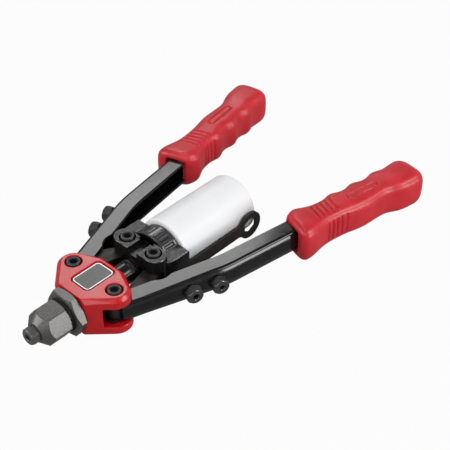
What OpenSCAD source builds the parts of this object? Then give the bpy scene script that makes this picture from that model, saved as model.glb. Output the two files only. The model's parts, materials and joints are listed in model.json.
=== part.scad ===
// Two-handed hand riveter.
// Origin: centre of the fitted nosepiece's front face.
// +X runs from the nose to the handles, +Z is up, +Y is the user's right.

/* [Nosepieces] */
// Across flats of a nosepiece
nosepiece_af = 11.5; // [10.5:0.25:12]
// Length of a nosepiece's hexagon
nosepiece_hex_len = 6.6; // [5:0.1:8]
// Width of the chamfer round a nosepiece's front
nosepiece_chamfer = 0.9; // [0.4:0.1:1.2]
// Radius of a nosepiece's thread
nosepiece_thread_r = 3.9; // [3.4:0.1:4.2]
// Length of a nosepiece's thread
nosepiece_thread_len = 8; // [6:0.5:9]
// Mandrel bore radius of the fitted nosepiece
fitted_bore_r = 2.5; // [2.2:0.05:2.8]
// Mandrel bore radius of the front spare nosepieces
spare_bore_r = 2.3; // [2:0.05:2.5]
// How much smaller the bores of the rear spare nosepieces are
spare_bore_step = 0.4; // [0.2:0.05:0.6]
// Turn of the fitted nosepiece's hexagon about the axis
nosepiece_turn = 25; // [0:5:55]

/* [Nose housing] */
// Across flats of the nose housing
housing_af = 25; // [24:0.5:28]
// Length of the nose housing ahead of its thread
housing_len = 21.4; // [18:0.2:28]
// Radius of the housing's flat front
housing_front_r = 7.8; // [7:0.2:9]
// Length of the housing's front cone, to the hexagon's corners
housing_cone_len = 6.4; // [5:0.2:8]
// Wall of the housing between its bore and its thread
housing_wall = 2.7; // [2:0.1:3.2]
// Depth of the housing's thread inside the head
housing_seat = 12; // [9:0.5:14]
// Turn of the housing's hexagon about the axis
housing_turn = 5.5; // [0:0.5:59]
// Bare thread between the housing and the lock nut
thread_gap = 3; // [2:0.25:4]
// Across flats of the lock nut
lock_nut_af = 32; // [31:0.5:36]
// Thickness of the lock nut
lock_nut_t = 7; // [5:0.5:9]
// Turn of the lock nut about the axis
lock_nut_turn = 58; // [0:1:59]

/* [Head] */
// Distance from the head's front face to the arm pivots
pivot_setback = 22.2; // [20:0.2:26]
// Distance from the arm pivots to the head's rear face
head_tail = 17.5; // [15:0.5:19]
// Half height of the head
head_half_h = 16.8; // [15:0.2:19]
// Thickness of each of the head's two plates
head_plate_t = 8.4; // [7:0.2:9]
// Radius of the lobes round the pivots
lobe_r = 11.6; // [11:0.2:14]
// Half width of the head's front face
head_front_half_w = 15.4; // [14.4:0.2:17]
// Half width of the head's rear face
head_rear_half_w = 12; // [10:0.5:14]
// Rounding of the head's edges
head_edge = 2.6; // [1.5:0.1:3.5]
// Rounding of the head's front edges
head_front_edge = 3.75; // [3:0.25:6]
// Thickness of the front wall ahead of the arm slots
slot_wall = 8.5; // [7:0.5:10]
// Wall of the core between the tube and the arm slots
core_wall = 3; // [2.4:0.1:4]
// Length of the label plate
label_len = 25.4; // [20:0.2:26]
// Width of the label plate
label_w = 17.2; // [12:0.2:18]
// Corner radius of the label plate
label_corner = 3.2; // [1:0.2:4]
// Thickness of the label plate
label_t = 0.9; // [0.5:0.1:1.5]
// Gap between the label plate and the edge of its recess
label_gap = 1; // [0.5:0.1:1.5]
// Depth of the label plate's face below the head's top
label_sink = 0.6; // [0.2:0.1:1]

/* [Screws] */
// Radius of the pivot and link screws' shanks
screw_r = 4; // [3.5:0.1:4.4]
// Radius of the screw heads
screw_head_r = 5.2; // [4.8:0.1:5.6]
// Height of the screw heads
screw_head_h = 5.2; // [4:0.2:6]
// Across flats of the screws' hexagon sockets
socket_af = 5.2; // [4:0.1:6]
// Depth of the screws' hexagon sockets
socket_depth = 3.4; // [2:0.2:4]
// Width of the ring left open round each screw head
counterbore_gap = 0.9; // [0.5:0.1:1.2]
// Across flats of the nuts
nut_af = 12; // [11:0.5:13]
// Thickness of the nuts
nut_t = 4.6; // [3.5:0.1:5.5]

/* [Arms] */
// Outward angle of the front of the arms
arm_angle = 18.8; // [17:0.2:22]
// Outward angle of the rear of the arms and the grips
arm_rear_angle = 9.3; // [7:0.1:12]
// Distance from the pivot to the bend
arm_bend_at = 82.8; // [76:0.2:95]
// Radius of the bend
arm_bend_r = 95; // [60:5:120]
// Distance from the pivot line to the channel's open inner side
arm_in = 5; // [4.6:0.1:5.6]
// Distance from the pivot line to the channel's outer side
arm_out = 10.6; // [10.4:0.1:12]
// Thickness of the arm's sheet
arm_wall = 2.4; // [2:0.1:2.8]
// Rise of each flange from the front to the rear of the arm
arm_rise = 1.9; // [0:0.1:3]
// Gap between an arm's flange and the head's slot
arm_side_gap = 0.7; // [0.3:0.1:1]
// Wall of the arm's eye round the bush
eye_wall = 2.5; // [2:0.1:3]
// Wall of the pivot bush
bush_wall = 2; // [1.5:0.1:2.4]
// Distance from the pivot to the first spare nosepiece
spare_at = 53.5; // [48:0.5:60]
// Distance between the two spare nosepieces on an arm
spare_pitch = 20.5; // [16:0.5:21]
// Depth of the scallop in the flanges beside the lugs
scallop = 2.2; // [1:0.1:3]
// Radius of the scallop
scallop_r = 11; // [9:0.5:14]

/* [Grips] */
// Distance from the bend to the grip's front
grip_at = 59.8; // [50:0.2:70]
// Length of the grip
grip_len = 127.5; // [120:0.5:145]
// Rubber over the outer side of the arm at the waist
grip_wall_out = 5.5; // [4:0.1:7]
// Rubber over the inner side of the arm in the finger grooves
grip_wall_in = 2.4; // [2:0.1:4]
// Rubber over the flanges at the waist
grip_wall_top = 4.6; // [3:0.1:6]
// Swell of the front shoulder
grip_shoulder = 5; // [3:0.1:7]
// Swell under the palm
grip_palm = 2.6; // [1:0.1:4]
// Swell of the flared end
grip_flare = 5.8; // [3:0.1:8]
// Distance between finger crests
finger_pitch = 22; // [19:0.5:25]
// Height of the finger crests
finger_h = 2.5; // [1:0.1:4]
// How much further back the grip's front lies on its inner side
grip_slant = 5; // [2:0.5:7]
// Squareness of the grip's section
grip_square = 3.6; // [2.4:0.1:5]
// Rubber past the end of the arm
grip_end = 14; // [10:0.5:20]

/* [Linkage] */
// Distance along the arm from the pivot to the link pin
link_pin_at = 19; // [18:0.2:21]
// Distance of the link pin outside the pivot line
link_pin_out = 1.8; // [1:0.1:2]
// Sheet left over each end of the link pin
link_pin_skin = 0.6; // [0.4:0.1:1]
// Radius of the link pin
link_pin_r = 3; // [2.6:0.1:3.2]
// Gap between a link and the flanges on each side of it
link_side_gap = 0.3; // [0.2:0.05:0.8]
// Half width of the links beside their rear eyes
link_half_w = 4.3; // [3.5:0.1:4.6]
// Distance from the rear eye to the links' inner front corner
link_corner_at = 23; // [21:0.25:24]
// Reach of the links' inner front corner from the middle line
link_corner_in = 11; // [9:0.25:11.5]
// Radius of the links' inner front corner
link_corner_r = 2.5; // [2:0.1:3]
// Radius of the links' rear eyes
link_eye_r = 7; // [6:0.1:7.2]
// Radius of the links' front eyes
link_front_r = 5.4; // [5:0.1:5.6]
// Play of the links' front eyes on the link pins
link_play = 0.8; // [0.7:0.05:0.95]

/* [Pull block] */
// Distance from the arm pivots to the link screws
lug_setback = 44.3; // [42:0.2:48]
// Half width of the web between the two links
web_half_w = 5.8; // [5:0.1:6.5]
// Half height of the block over its lugs
lug_half_h = 16.5; // [15:0.25:19]
// Half length of the lugs
lug_half_len = 8.5; // [8:0.1:9]
// Reach of the lugs outside the link screws
lug_reach = 10.6; // [9.5:0.1:11]
// Half width of the groove between the lugs
groove_half_w = 4.8; // [4:0.1:5.5]
// Half height of the block's cheeks and of the groove's floor
cheek_half_h = 12; // [11:0.25:13]
// Half width of the cheeks
cheek_half_w = 26.2; // [25.9:0.1:26.4]
// Length of the cheeks beside the collar
cheek_len = 14.3; // [12:0.1:18]
// Length of the boss round the tube's rear end
boss_len = 7.5; // [6:0.25:8]
// Wall of the boss round the tube's rear end
boss_wall = 1; // [0.8:0.1:1.4]

/* [Pull tube and jaws] */
// Radius of the pull tube
tube_r = 8.5; // [8:0.1:8.8]
// Radius of the passage for spent mandrels
tube_bore_r = 3.6; // [3.2:0.1:4.2]
// Depth of the shoulder at each end of the tube
tube_step = 1; // [0.6:0.1:1.4]
// Length of the thread at the tube's front end
tube_thread_len = 8; // [6:0.5:9]
// Radius of the jaw case
jaw_case_r = 9.7; // [9.4:0.1:10.4]
// Length of the jaw case
jaw_case_len = 27.5; // [26:0.5:28]
// Travel of the jaw case towards the nosepiece
forward_travel = 8.4; // [8.4:0.1:9]
// Room for the jaw case behind its rest place
back_travel = 4; // [3.4:0.1:5]
// Length of the jaws
jaw_len = 12; // [10:0.5:13]
// Half angle of the jaws' cone
jaw_cone = 14; // [11:0.5:16]
// Radius of the jaws' grip on the mandrel
jaw_grip_r = 1.5; // [1:0.1:2]
// Length of the jaw pusher
pusher_len = 2.6; // [2:0.1:3.5]
// Wire radius of the jaw spring
spring_wire_r = 0.4; // [0.3:0.05:0.5]
// Turns of the jaw spring
spring_turns = 4; // [3:1:5]

/* [Bottle and spanner] */
// Radius of the collection bottle
bottle_r = 22.9; // [22:0.1:23.1]
// Length of the collection bottle
bottle_len = 75.5; // [65:0.5:90]
// Wall of the collection bottle
bottle_wall = 1.6; // [1.2:0.1:2.2]
// Rounding of the bottle's edges
bottle_round = 3; // [2:0.25:4]
// Radius of the collar's ribs
collar_r = 19.5; // [19:0.1:20.2]
// Depth of the grooves between the collar's ribs
rib_depth = 1.2; // [0.6:0.1:1.5]
// Number of ribs round the collar
rib_count = 20; // [16:1:24]
// Length of the smooth rim at each end of the collar
collar_rim = 2.2; // [1.5:0.1:3]
// Radius of the spigot inside the bottle's neck
spigot_r = 11.6; // [11:0.1:12]
// Wall of the bottle's neck
neck_wall = 2.3; // [1.6:0.1:2.6]
// Half width of the spanner's bar
spanner_half_w = 4.6; // [4:0.1:5.5]
// Thickness of the spanner
spanner_t = 2.2; // [1.8:0.1:2.2]
// Outer radius of the spanner's ring
spanner_ring_r = 10.9; // [10:0.1:13]
// Distance from the block's rear to the middle of the spanner's ring
spanner_ring_at = 65.4; // [50:0.1:70]
// Height of the spanner's middle above the axis
spanner_z = -3.9; // [-5:0.1:-2]

/* [Hidden] */
$fn = 64;

// Clearances: threads and seats, running fits, and free gaps
seat_gap = 0.05;
run_gap = 0.08;
free_gap = 0.3;
// Overshoot of cutting shapes
cut = 1;
// Reach of cuts that run right out of the part
far = 60;

// Stations along the axis
housing_x = nosepiece_hex_len;
thread_x = housing_x + housing_len;
lock_nut_x = thread_x + thread_gap;
head_x = lock_nut_x + lock_nut_t;
pivot_x = head_x + pivot_setback;
head_rear_x = pivot_x + head_tail;
housing_end_x = head_x + housing_seat;
lug_x = pivot_x + lug_setback;
lug_front_x = lug_x - lug_half_len;
lug_rear_x = lug_x + lug_half_len - cut / 2;
boss_x = lug_front_x - boss_len;
pocket_x = lug_x + link_eye_r + 2 * free_gap + cut;
collar_x = pocket_x + free_gap;
block_end_x = pocket_x + cheek_len;
bottle_x = block_end_x + free_gap;
nosepiece_end_x = nosepiece_hex_len + nosepiece_thread_len;

// Radii and half widths that follow from their neighbours
housing_bore_r = jaw_case_r + run_gap;
housing_thread_r = housing_bore_r + housing_wall;
guide_r = tube_r + run_gap;
core_half_w = guide_r + core_wall;
slot_half_h = head_half_h - head_plate_t;
arm_front_half_h = slot_half_h - arm_side_gap;
arm_rear_half_h = arm_front_half_h + arm_rise;
link_pin_half_len = arm_front_half_h - link_pin_skin;
bush_r = screw_r + run_gap + bush_wall;
eye_r = bush_r + eye_wall;
pivot_y = core_half_w + cut + eye_r;
lug_y = web_half_w + 2 * free_gap + link_eye_r;
lug_half_w = lug_y + lug_reach;
link_half_t = arm_front_half_h - arm_wall - link_side_gap;
link_slot_half_h = link_half_t + 2 * free_gap;
tube_thread_r = tube_r - tube_step;
counterbore_r = screw_head_r + counterbore_gap;
nut_pocket_r = nut_af / sqrt(3) + free_gap;
jaw_case_x = nosepiece_end_x + forward_travel + 2 * cut;
jaw_x = jaw_case_x - cut;
tube_x = jaw_case_x + jaw_case_len - tube_thread_len;
neck_r = spigot_r + free_gap + neck_wall;
collar_bore_r = neck_r + free_gap;
pocket_r = collar_r + free_gap;
spanner_x = pocket_x;
spanner_y = cheek_half_w;

// Arm path: straight, bent, straight
bend_angle = arm_angle - arm_rear_angle;
bend_start = arm_bend_at - arm_bend_r * tan(bend_angle / 2);
arm_rear_len = grip_at + grip_len - grip_end - arm_bend_r * tan(bend_angle / 2);
link_pin = [
  pivot_x + link_pin_at * cos(arm_angle) - link_pin_out * sin(arm_angle),
  pivot_y + link_pin_at * sin(arm_angle) + link_pin_out * cos(arm_angle)
];
link_run = [link_pin[0] - lug_x, link_pin[1] - lug_y];

// Grip profile stations, from the grip's front
shoulder_out_at = 6.5;
shoulder_in_at = 13;
palm_at = 65.5;
first_crest_at = 49;
flare_at = grip_len - 33;
flare_in_at = flare_at + 12;
grip_front_round = 5;
grip_end_round = 12;
slant_len = 4 * grip_slant;

black = [0.08, 0.08, 0.09];
dark = [0.16, 0.16, 0.17];
steel = [0.52, 0.52, 0.53];
red = [0.75, 0.06, 0.08];
grip_red = [0.8, 0.2, 0.24];

// Placing

module along_x(x) {
  translate([x, 0, 0]) rotate([0, 90, 0]) children();
}

// A hexagon bar along X with one corner at an angle from +Y
module hex_x(x, len, af, turn) {
  along_x(x) rotate(turn + 90) cylinder(r = af / sqrt(3), h = len, $fn = 6);
}

// A solid turned about X from points [radius, x]
module turned_x(points) {
  rotate([0, 90, 0]) rotate_extrude() polygon(points);
}

// A hexagon bar from x0 to x1 with its corners turned off by a cone at each end
module turned_hex(x0, x1, af, turn, front_r, front_len, rear_r, rear_len) {
  corner_r = af / sqrt(3);
  over = free_gap;
  front_over = front_len * over / (corner_r - front_r);
  rear_over = rear_len * over / (corner_r - rear_r);
  intersection() {
    hex_x(x0, x1 - x0, af, turn);
    turned_x([
      [0, x0], [front_r, x0], [corner_r + over, x0 + front_len + front_over],
      [corner_r + over, x1 - rear_len - rear_over], [rear_r, x1], [0, x1]
    ]);
  }
}

module at_pivot() {
  translate([pivot_x, pivot_y, 0]) rotate(arm_angle) children();
}

module at_rear() {
  at_pivot() translate([arm_bend_at, 0, 0]) rotate(-bend_angle) children();
}

module at_lug() {
  translate([lug_x, lug_y, 0]) children();
}

module on_left() {
  mirror([0, 1, 0]) children();
}

module both_sides() {
  children();
  on_left() children();
}

// Nosepieces and nose housing

// A nosepiece along X with its front face at the origin
module nosepiece(bore_r, turn) {
  corner_r = nosepiece_af / sqrt(3);
  difference() {
    union() {
      turned_hex(0, nosepiece_hex_len, nosepiece_af, turn,
        corner_r - 2 * nosepiece_chamfer, 2 * nosepiece_chamfer,
        corner_r - nosepiece_chamfer, nosepiece_chamfer / 2);
      along_x(nosepiece_hex_len - seat_gap)
        cylinder(r = nosepiece_thread_r, h = nosepiece_thread_len + seat_gap);
    }
    along_x(-cut) cylinder(r = bore_r, h = nosepiece_end_x + 2 * cut);
  }
}

module fitted_nosepiece() {
  color(steel) nosepiece(fitted_bore_r, nosepiece_turn);
}

// A spare nosepiece in the web of the right arm
module spare_nosepiece(i) {
  color(dark)
    at_pivot() translate([spare_at + i * spare_pitch, arm_out + nosepiece_hex_len, 0])
      rotate(-90) nosepiece(spare_bore_r - i * spare_bore_step, nosepiece_turn);
}

module right_front_spare_nosepiece() {
  spare_nosepiece(0);
}

module right_rear_spare_nosepiece() {
  spare_nosepiece(1);
}

module left_front_spare_nosepiece() {
  on_left() spare_nosepiece(0);
}

module left_rear_spare_nosepiece() {
  on_left() spare_nosepiece(1);
}

module nose_housing() {
  color(steel) difference() {
    union() {
      turned_hex(housing_x, thread_x, housing_af, housing_turn,
        housing_front_r, housing_cone_len, housing_af / 2 - free_gap, cut);
      along_x(thread_x - cut) cylinder(r = housing_thread_r, h = housing_end_x - thread_x + cut);
    }
    along_x(housing_x - cut)
      cylinder(r = nosepiece_thread_r + seat_gap, h = nosepiece_thread_len + 2 * cut);
    along_x(nosepiece_end_x - cut)
      cylinder(r = housing_bore_r, h = housing_end_x - nosepiece_end_x + 2 * cut);
  }
}

module lock_nut() {
  face_r = lock_nut_af / 2 - free_gap;
  color(steel) difference() {
    turned_hex(lock_nut_x, head_x, lock_nut_af, lock_nut_turn, face_r, cut, face_r, cut);
    along_x(lock_nut_x - cut) cylinder(r = housing_thread_r + seat_gap, h = lock_nut_t + 2 * cut);
  }
}

// Head

// One slab of the head's outer form, set in from its edges
module head_slab(inset, front_inset) {
  h = 2 * (head_half_h - head_edge + inset);
  front_h = 2 * (head_half_h - head_front_edge + front_inset);
  both_sides()
    translate([pivot_x, pivot_y, 0]) cylinder(r = lobe_r - inset, h = h, center = true, $fn = 48);
  translate([head_x + cut / 2, 0, 0])
    cube([cut, 2 * (head_front_half_w - front_inset), front_h], center = true);
  translate([head_rear_x - inset - cut / 2, 0, 0])
    cube([cut, 2 * (head_rear_half_w - inset), h], center = true);
}

module head_casting() {
  slot_x = head_x + slot_wall;
  color(red) difference() {
    hull() {
      head_slab(0, 0);
      head_slab(head_edge, head_front_edge);
    }
    both_sides()
      translate([slot_x, core_half_w, -slot_half_h]) cube([far, far, 2 * slot_half_h]);
    along_x(head_x - cut) cylinder(r = housing_thread_r + seat_gap, h = housing_seat + cut + seat_gap);
    along_x(head_x) cylinder(r = housing_bore_r, h = jaw_case_x + jaw_case_len + back_travel - head_x);
    along_x(head_x) cylinder(r = guide_r, h = far);
    both_sides() translate([pivot_x, pivot_y, 0]) {
      cylinder(r = screw_r + seat_gap, h = 2 * far, center = true);
      translate([0, 0, head_half_h - screw_head_h]) cylinder(r = counterbore_r, h = far);
      translate([0, 0, -head_half_h - far]) cylinder(r = nut_pocket_r, h = far + nut_t);
    }
    translate([pivot_x - cut / 2, 0, head_half_h - label_sink - label_t - seat_gap])
      linear_extrude(far)
        rounded_plate(label_len + 2 * label_gap, label_w + 2 * label_gap, label_corner + label_gap);
  }
}

// A rounded rectangle centred on the origin
module rounded_plate(len, w, r) {
  polygon([
    for (corner = [[1, 1, 0], [-1, 1, 90], [-1, -1, 180], [1, -1, 270]])
      for (a = [0 : 15 : 90])
        [corner[0] * (len / 2 - r) + r * cos(corner[2] + a),
         corner[1] * (w / 2 - r) + r * sin(corner[2] + a)]
  ]);
}

module label_plate() {
  color([0.4, 0.4, 0.41])
    translate([pivot_x - cut / 2, 0, head_half_h - label_sink - label_t])
      linear_extrude(label_t) rounded_plate(label_len, label_w, label_corner);
}

// Screws and nuts

// A socket screw along -Z, its head's underside at z = seat
module socket_screw(seat, len) {
  top = seat + screw_head_h + free_gap;
  color(dark) difference() {
    rotate_extrude() polygon([
      [0, seat - len], [screw_r, seat - len], [screw_r, seat], [screw_head_r, seat],
      [screw_head_r, top - cut], [screw_head_r - cut, top], [0, top]
    ]);
    translate([0, 0, top - socket_depth])
      cylinder(r = socket_af / sqrt(3), h = socket_depth + cut, $fn = 6);
  }
}

// A nut under a screw, its upper face at z = seat
module hex_nut(seat) {
  color(dark) difference() {
    translate([0, 0, seat - nut_t]) cylinder(r = nut_af / sqrt(3), h = nut_t, $fn = 6);
    translate([0, 0, seat - nut_t - cut]) cylinder(r = screw_r + seat_gap, h = nut_t + 2 * cut);
  }
}

module right_pivot_screw() {
  translate([pivot_x, pivot_y, 0])
    socket_screw(head_half_h - screw_head_h, 2 * head_half_h - screw_head_h - cut);
}

module left_pivot_screw() {
  on_left() right_pivot_screw();
}

module right_pivot_nut() {
  translate([pivot_x, pivot_y, 0]) hex_nut(nut_t - head_half_h);
}

module left_pivot_nut() {
  on_left() right_pivot_nut();
}

module right_link_screw() {
  at_lug() socket_screw(lug_half_h - screw_head_h + cut, 2 * lug_half_h - screw_head_h);
}

module left_link_screw() {
  on_left() right_link_screw();
}

module right_link_nut() {
  at_lug() hex_nut(nut_t - lug_half_h);
}

module left_link_nut() {
  on_left() right_link_nut();
}

// Pull block

// Plan of one lug, rounded round its outer end
module lug_plan() {
  mid_x = (lug_front_x + lug_rear_x) / 2;
  r = (lug_rear_x - lug_front_x) / 2;
  polygon(concat(
    [[lug_rear_x, 0]],
    [for (a = [0 : 15 : 180]) [mid_x + r * cos(a), lug_half_w - r + r * sin(a)]],
    [[lug_front_x, 0]]
  ));
}

// Plan of one cheek beside the collar
module cheek_plan() {
  polygon([
    [lug_x, 0], [lug_x, lug_half_w - lug_half_len], [lug_x + 3.2, lug_half_w + 0.7],
    [lug_x + 11, cheek_half_w], [block_end_x, cheek_half_w], [block_end_x, 0]
  ]);
}

module pull_block() {
  socket_r = tube_thread_r + seat_gap;
  color(dark) difference() {
    union() {
      both_sides() linear_extrude(2 * lug_half_h, center = true) lug_plan();
      both_sides() linear_extrude(2 * cheek_half_h, center = true) cheek_plan();
      along_x(boss_x) cylinder(r = tube_thread_r + boss_wall, h = lug_front_x - boss_x + cut);
    }
    // groove between the lugs, above and below
    for (side = [0, 180])
      rotate([side, 0, 0])
        translate([boss_x - cut, -groove_half_w, cheek_half_h])
          cube([pocket_x - boss_x, 2 * groove_half_w, far]);
    // slots for the links
    both_sides() {
      translate([lug_front_x - cut, web_half_w, -link_slot_half_h])
        cube([lug_half_len + cut, far, 2 * link_slot_half_h]);
      at_lug() cylinder(r = link_eye_r + 2 * free_gap, h = 2 * link_slot_half_h, center = true);
    }
    // pocket round the spigot for the collar
    turned_x([
      [spigot_r, pocket_x], [pocket_r, pocket_x], [pocket_r, block_end_x + cut],
      [spigot_r, block_end_x + cut]
    ]);
    along_x(boss_x - cut) cylinder(r = socket_r, h = boss_len + cut);
    along_x(boss_x) cylinder(r = tube_bore_r, h = far);
    both_sides() at_lug() {
      cylinder(r = screw_r + seat_gap, h = 2 * far, center = true);
      translate([0, 0, lug_half_h - screw_head_h + cut]) cylinder(r = counterbore_r, h = far);
      translate([0, 0, -lug_half_h - far]) cylinder(r = nut_pocket_r, h = far + nut_t);
    }
    // groove in the left cheek for the spanner
    translate([spanner_x, -spanner_y - far, spanner_z - spanner_half_w - run_gap])
      cube([far, far + spanner_t + run_gap, 2 * (spanner_half_w + run_gap)]);
  }
}

// Links

// Plan of the right link from its lug: a rear eye on a plate with a wide inner front corner
module link_plan() {
  circle(r = link_eye_r);
  hull() {
    circle(r = link_half_w);
    translate(link_run) circle(r = link_front_r);
    rotate(atan2(link_run[1], link_run[0]))
      translate([link_corner_at, link_corner_in - link_corner_r]) circle(r = link_corner_r);
  }
}

module right_link() {
  color(dark) at_lug() difference() {
    linear_extrude(2 * link_half_t, center = true) link_plan();
    cylinder(r = screw_r + run_gap, h = far, center = true);
    translate(link_run) cylinder(r = link_pin_r + link_play, h = far, center = true);
  }
}

module left_link() {
  on_left() right_link();
}

// Pull tube and jaws

module pull_tube() {
  color(black) difference() {
    union() {
      along_x(tube_x) cylinder(r = tube_thread_r, h = lug_front_x - tube_x);
      along_x(tube_x + tube_thread_len) cylinder(r = tube_r, h = boss_x - tube_x - tube_thread_len);
    }
    along_x(tube_x - cut) cylinder(r = tube_bore_r, h = far + cut);
  }
}

// Radius of the jaws' cone at a distance behind the jaws' front
function jaw_r(x) = jaw_grip_r + 2.4 + x * tan(jaw_cone);

module jaw_case() {
  chamber_r = jaw_r(jaw_len) + run_gap;
  color(steel) difference() {
    along_x(jaw_case_x) cylinder(r = jaw_case_r, h = jaw_case_len);
    turned_x([
      [0, jaw_case_x - cut], [jaw_r(0) + run_gap, jaw_case_x - cut],
      [chamber_r, jaw_x + jaw_len], [chamber_r, tube_x + cut], [0, tube_x + cut]
    ]);
    along_x(tube_x) cylinder(r = tube_thread_r + seat_gap, h = tube_thread_len + cut);
  }
}

module jaw_set() {
  split = 2 * run_gap + 0.4;
  color(steel) difference() {
    turned_x([
      [jaw_grip_r, jaw_x], [jaw_r(0) - run_gap, jaw_x],
      [jaw_r(jaw_len) - run_gap, jaw_x + jaw_len], [jaw_grip_r, jaw_x + jaw_len]
    ]);
    for (turn = [90, 210, 330])
      rotate([turn, 0, 0]) translate([jaw_x - cut, 0, -split / 2]) cube([jaw_len + 2 * cut, far, split]);
  }
}

module jaw_pusher() {
  color(steel) difference() {
    along_x(jaw_x + jaw_len) cylinder(r = jaw_r(jaw_len) - free_gap, h = pusher_len);
    along_x(jaw_x) cylinder(r = tube_bore_r - 1, h = far);
  }
}

module jaw_spring() {
  start = jaw_x + jaw_len + pusher_len + spring_wire_r;
  pitch = (tube_x - spring_wire_r - start) / spring_turns;
  coil_r = tube_bore_r + spring_wire_r + 0.5;
  steps = 20;
  sides = 8;
  rings = steps * spring_turns;
  points = [
    for (i = [0 : rings])
      for (k = [0 : sides - 1])
        let (turn = 360 * i / steps, a = 360 * k / sides, r = coil_r + spring_wire_r * cos(a))
          [start + pitch * i / steps + spring_wire_r * sin(a), r * cos(turn), r * sin(turn)]
  ];
  color(steel) polyhedron(points, tube_faces(rings, sides));
}

// Triangles of a closed tube whose rings of points follow one another
function tube_faces(rings, sides) = concat(
  [[for (k = [0 : sides - 1]) k]],
  [
    for (i = [0 : rings - 1])
      for (k = [0 : sides - 1])
        let (a = i * sides + k, b = i * sides + (k + 1) % sides)
          each [[a, a + sides, b], [b, a + sides, b + sides]]
  ],
  [[for (k = [sides - 1 : -1 : 0]) rings * sides + k]]
);

// Bottle and spanner

module bottle_collar() {
  len = block_end_x - collar_x - free_gap;
  color(black) difference() {
    turned_x([
      [collar_bore_r, collar_x], [collar_r - cut, collar_x], [collar_r, collar_x + cut],
      [collar_r, collar_x + len], [collar_bore_r, collar_x + len]
    ]);
    for (i = [0 : rib_count - 1])
      rotate([360 * i / rib_count, 0, 0])
        translate([collar_x + collar_rim, -0.2 * collar_r * PI / rib_count * 2, collar_r - rib_depth])
          cube([len - 2 * collar_rim, 0.4 * collar_r * PI / rib_count * 2, 2 * rib_depth]);
  }
}

module collection_bottle() {
  end_x = bottle_x + bottle_len;
  inner_r = bottle_r - bottle_wall;
  neck_x = collar_x + collar_rim;
  front_round = 0.8 * bottle_round;
  color("white") turned_x([
    [neck_r - neck_wall, neck_x], [neck_r, neck_x], [neck_r, bottle_x],
    for (a = [0 : 15 : 90])
      [bottle_r - front_round + front_round * sin(a), bottle_x + front_round - front_round * cos(a)],
    for (a = [0 : 15 : 90])
      [bottle_r - bottle_round + bottle_round * cos(a), end_x - bottle_round + bottle_round * sin(a)],
    [0, end_x], [0, end_x - bottle_wall],
    for (a = [90 : -15 : 0])
      [inner_r - bottle_round + bottle_round * cos(a),
       end_x - bottle_wall - bottle_round + bottle_round * sin(a)],
    [inner_r, bottle_x + bottle_wall], [neck_r - neck_wall, bottle_x + bottle_wall]
  ]);
}

module nosepiece_spanner() {
  ring_x = block_end_x + spanner_ring_at;
  hole_af = nosepiece_af + free_gap;
  color([0.17, 0.14, 0.12])
    translate([0, -spanner_y + spanner_t, spanner_z]) rotate([90, 0, 0]) linear_extrude(spanner_t)
      difference() {
        union() {
          translate([spanner_x + free_gap, -spanner_half_w])
            square([ring_x - spanner_x - free_gap, 2 * spanner_half_w]);
          translate([ring_x, 0]) circle(r = spanner_ring_r);
        }
        translate([ring_x, 0]) rotate(90) circle(r = hole_af / sqrt(3), $fn = 6);
      }
}

// Arms

// Plan of an arm between two distances from its pivot line
module arm_plan(from_u, v_in, v_out) {
  steps = 6;
  centre = [bend_start, -arm_bend_r];
  function bent(i, v) = let (a = 90 - bend_angle * i / steps)
    centre + (arm_bend_r + v) * [cos(a), sin(a)];
  function rear(v) = bent(steps, v) + arm_rear_len * [cos(bend_angle), -sin(bend_angle)];
  polygon(concat(
    [[from_u, v_in]], [for (i = [0 : steps]) bent(i, v_in)], [rear(v_in), rear(v_out)],
    [for (i = [steps : -1 : 0]) bent(i, v_out)], [[from_u, v_out]]
  ));
}

// An arm's outer form, or its hollow when set in by the sheet
module arm_form(from_u, v_in, v_out, inset) {
  front_h = arm_front_half_h - inset;
  rear_h = arm_rear_half_h - inset;
  end_u = bend_start + arm_rear_len + far;
  intersection() {
    linear_extrude(2 * far, center = true) arm_plan(from_u, v_in, v_out);
    rotate([90, 0, 0]) linear_extrude(4 * far, center = true) polygon([
      [-far, -front_h], [link_pin_at, -front_h], [bend_start, -rear_h], [end_u, -rear_h],
      [end_u, rear_h], [bend_start, rear_h], [link_pin_at, front_h], [-far, front_h]
    ]);
  }
}

module right_arm() {
  color(black) at_pivot() difference() {
    union() {
      arm_form(cut, -arm_in, arm_out, 0);
      cylinder(r = eye_r, h = 2 * arm_front_half_h, center = true);
    }
    arm_form(-2 * eye_r, -arm_in - eye_r, arm_out - arm_wall, arm_wall);
    cylinder(r = bush_r + seat_gap, h = far, center = true);
    translate([link_pin_at, link_pin_out, 0])
      cylinder(r = link_pin_r, h = 2 * link_pin_half_len, center = true);
    translate([2 * link_pin_at, scallop - arm_in - scallop_r, 0])
      cylinder(r = scallop_r, h = far, center = true);
    for (i = [0, 1])
      translate([spare_at + i * spare_pitch, 0, 0]) rotate([-90, 0, 0])
        cylinder(r = nosepiece_thread_r + seat_gap, h = far);
  }
}

module left_arm() {
  on_left() right_arm();
}

module right_pivot_bush() {
  h = 2 * slot_half_h - 2 * run_gap;
  color(steel) translate([pivot_x, pivot_y, 0]) difference() {
    cylinder(r = bush_r, h = h, center = true);
    cylinder(r = screw_r + run_gap, h = h + cut, center = true);
  }
}

module left_pivot_bush() {
  on_left() right_pivot_bush();
}

module right_link_pin() {
  color(black) translate(link_pin)
    cylinder(r = link_pin_r - seat_gap / 2, h = 2 * link_pin_half_len - seat_gap, center = true);
}

module left_link_pin() {
  on_left() right_link_pin();
}

// Grips

function bump(t) = exp(-t * t);
function rise(t) = 1 / (1 + exp(-t));

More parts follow.
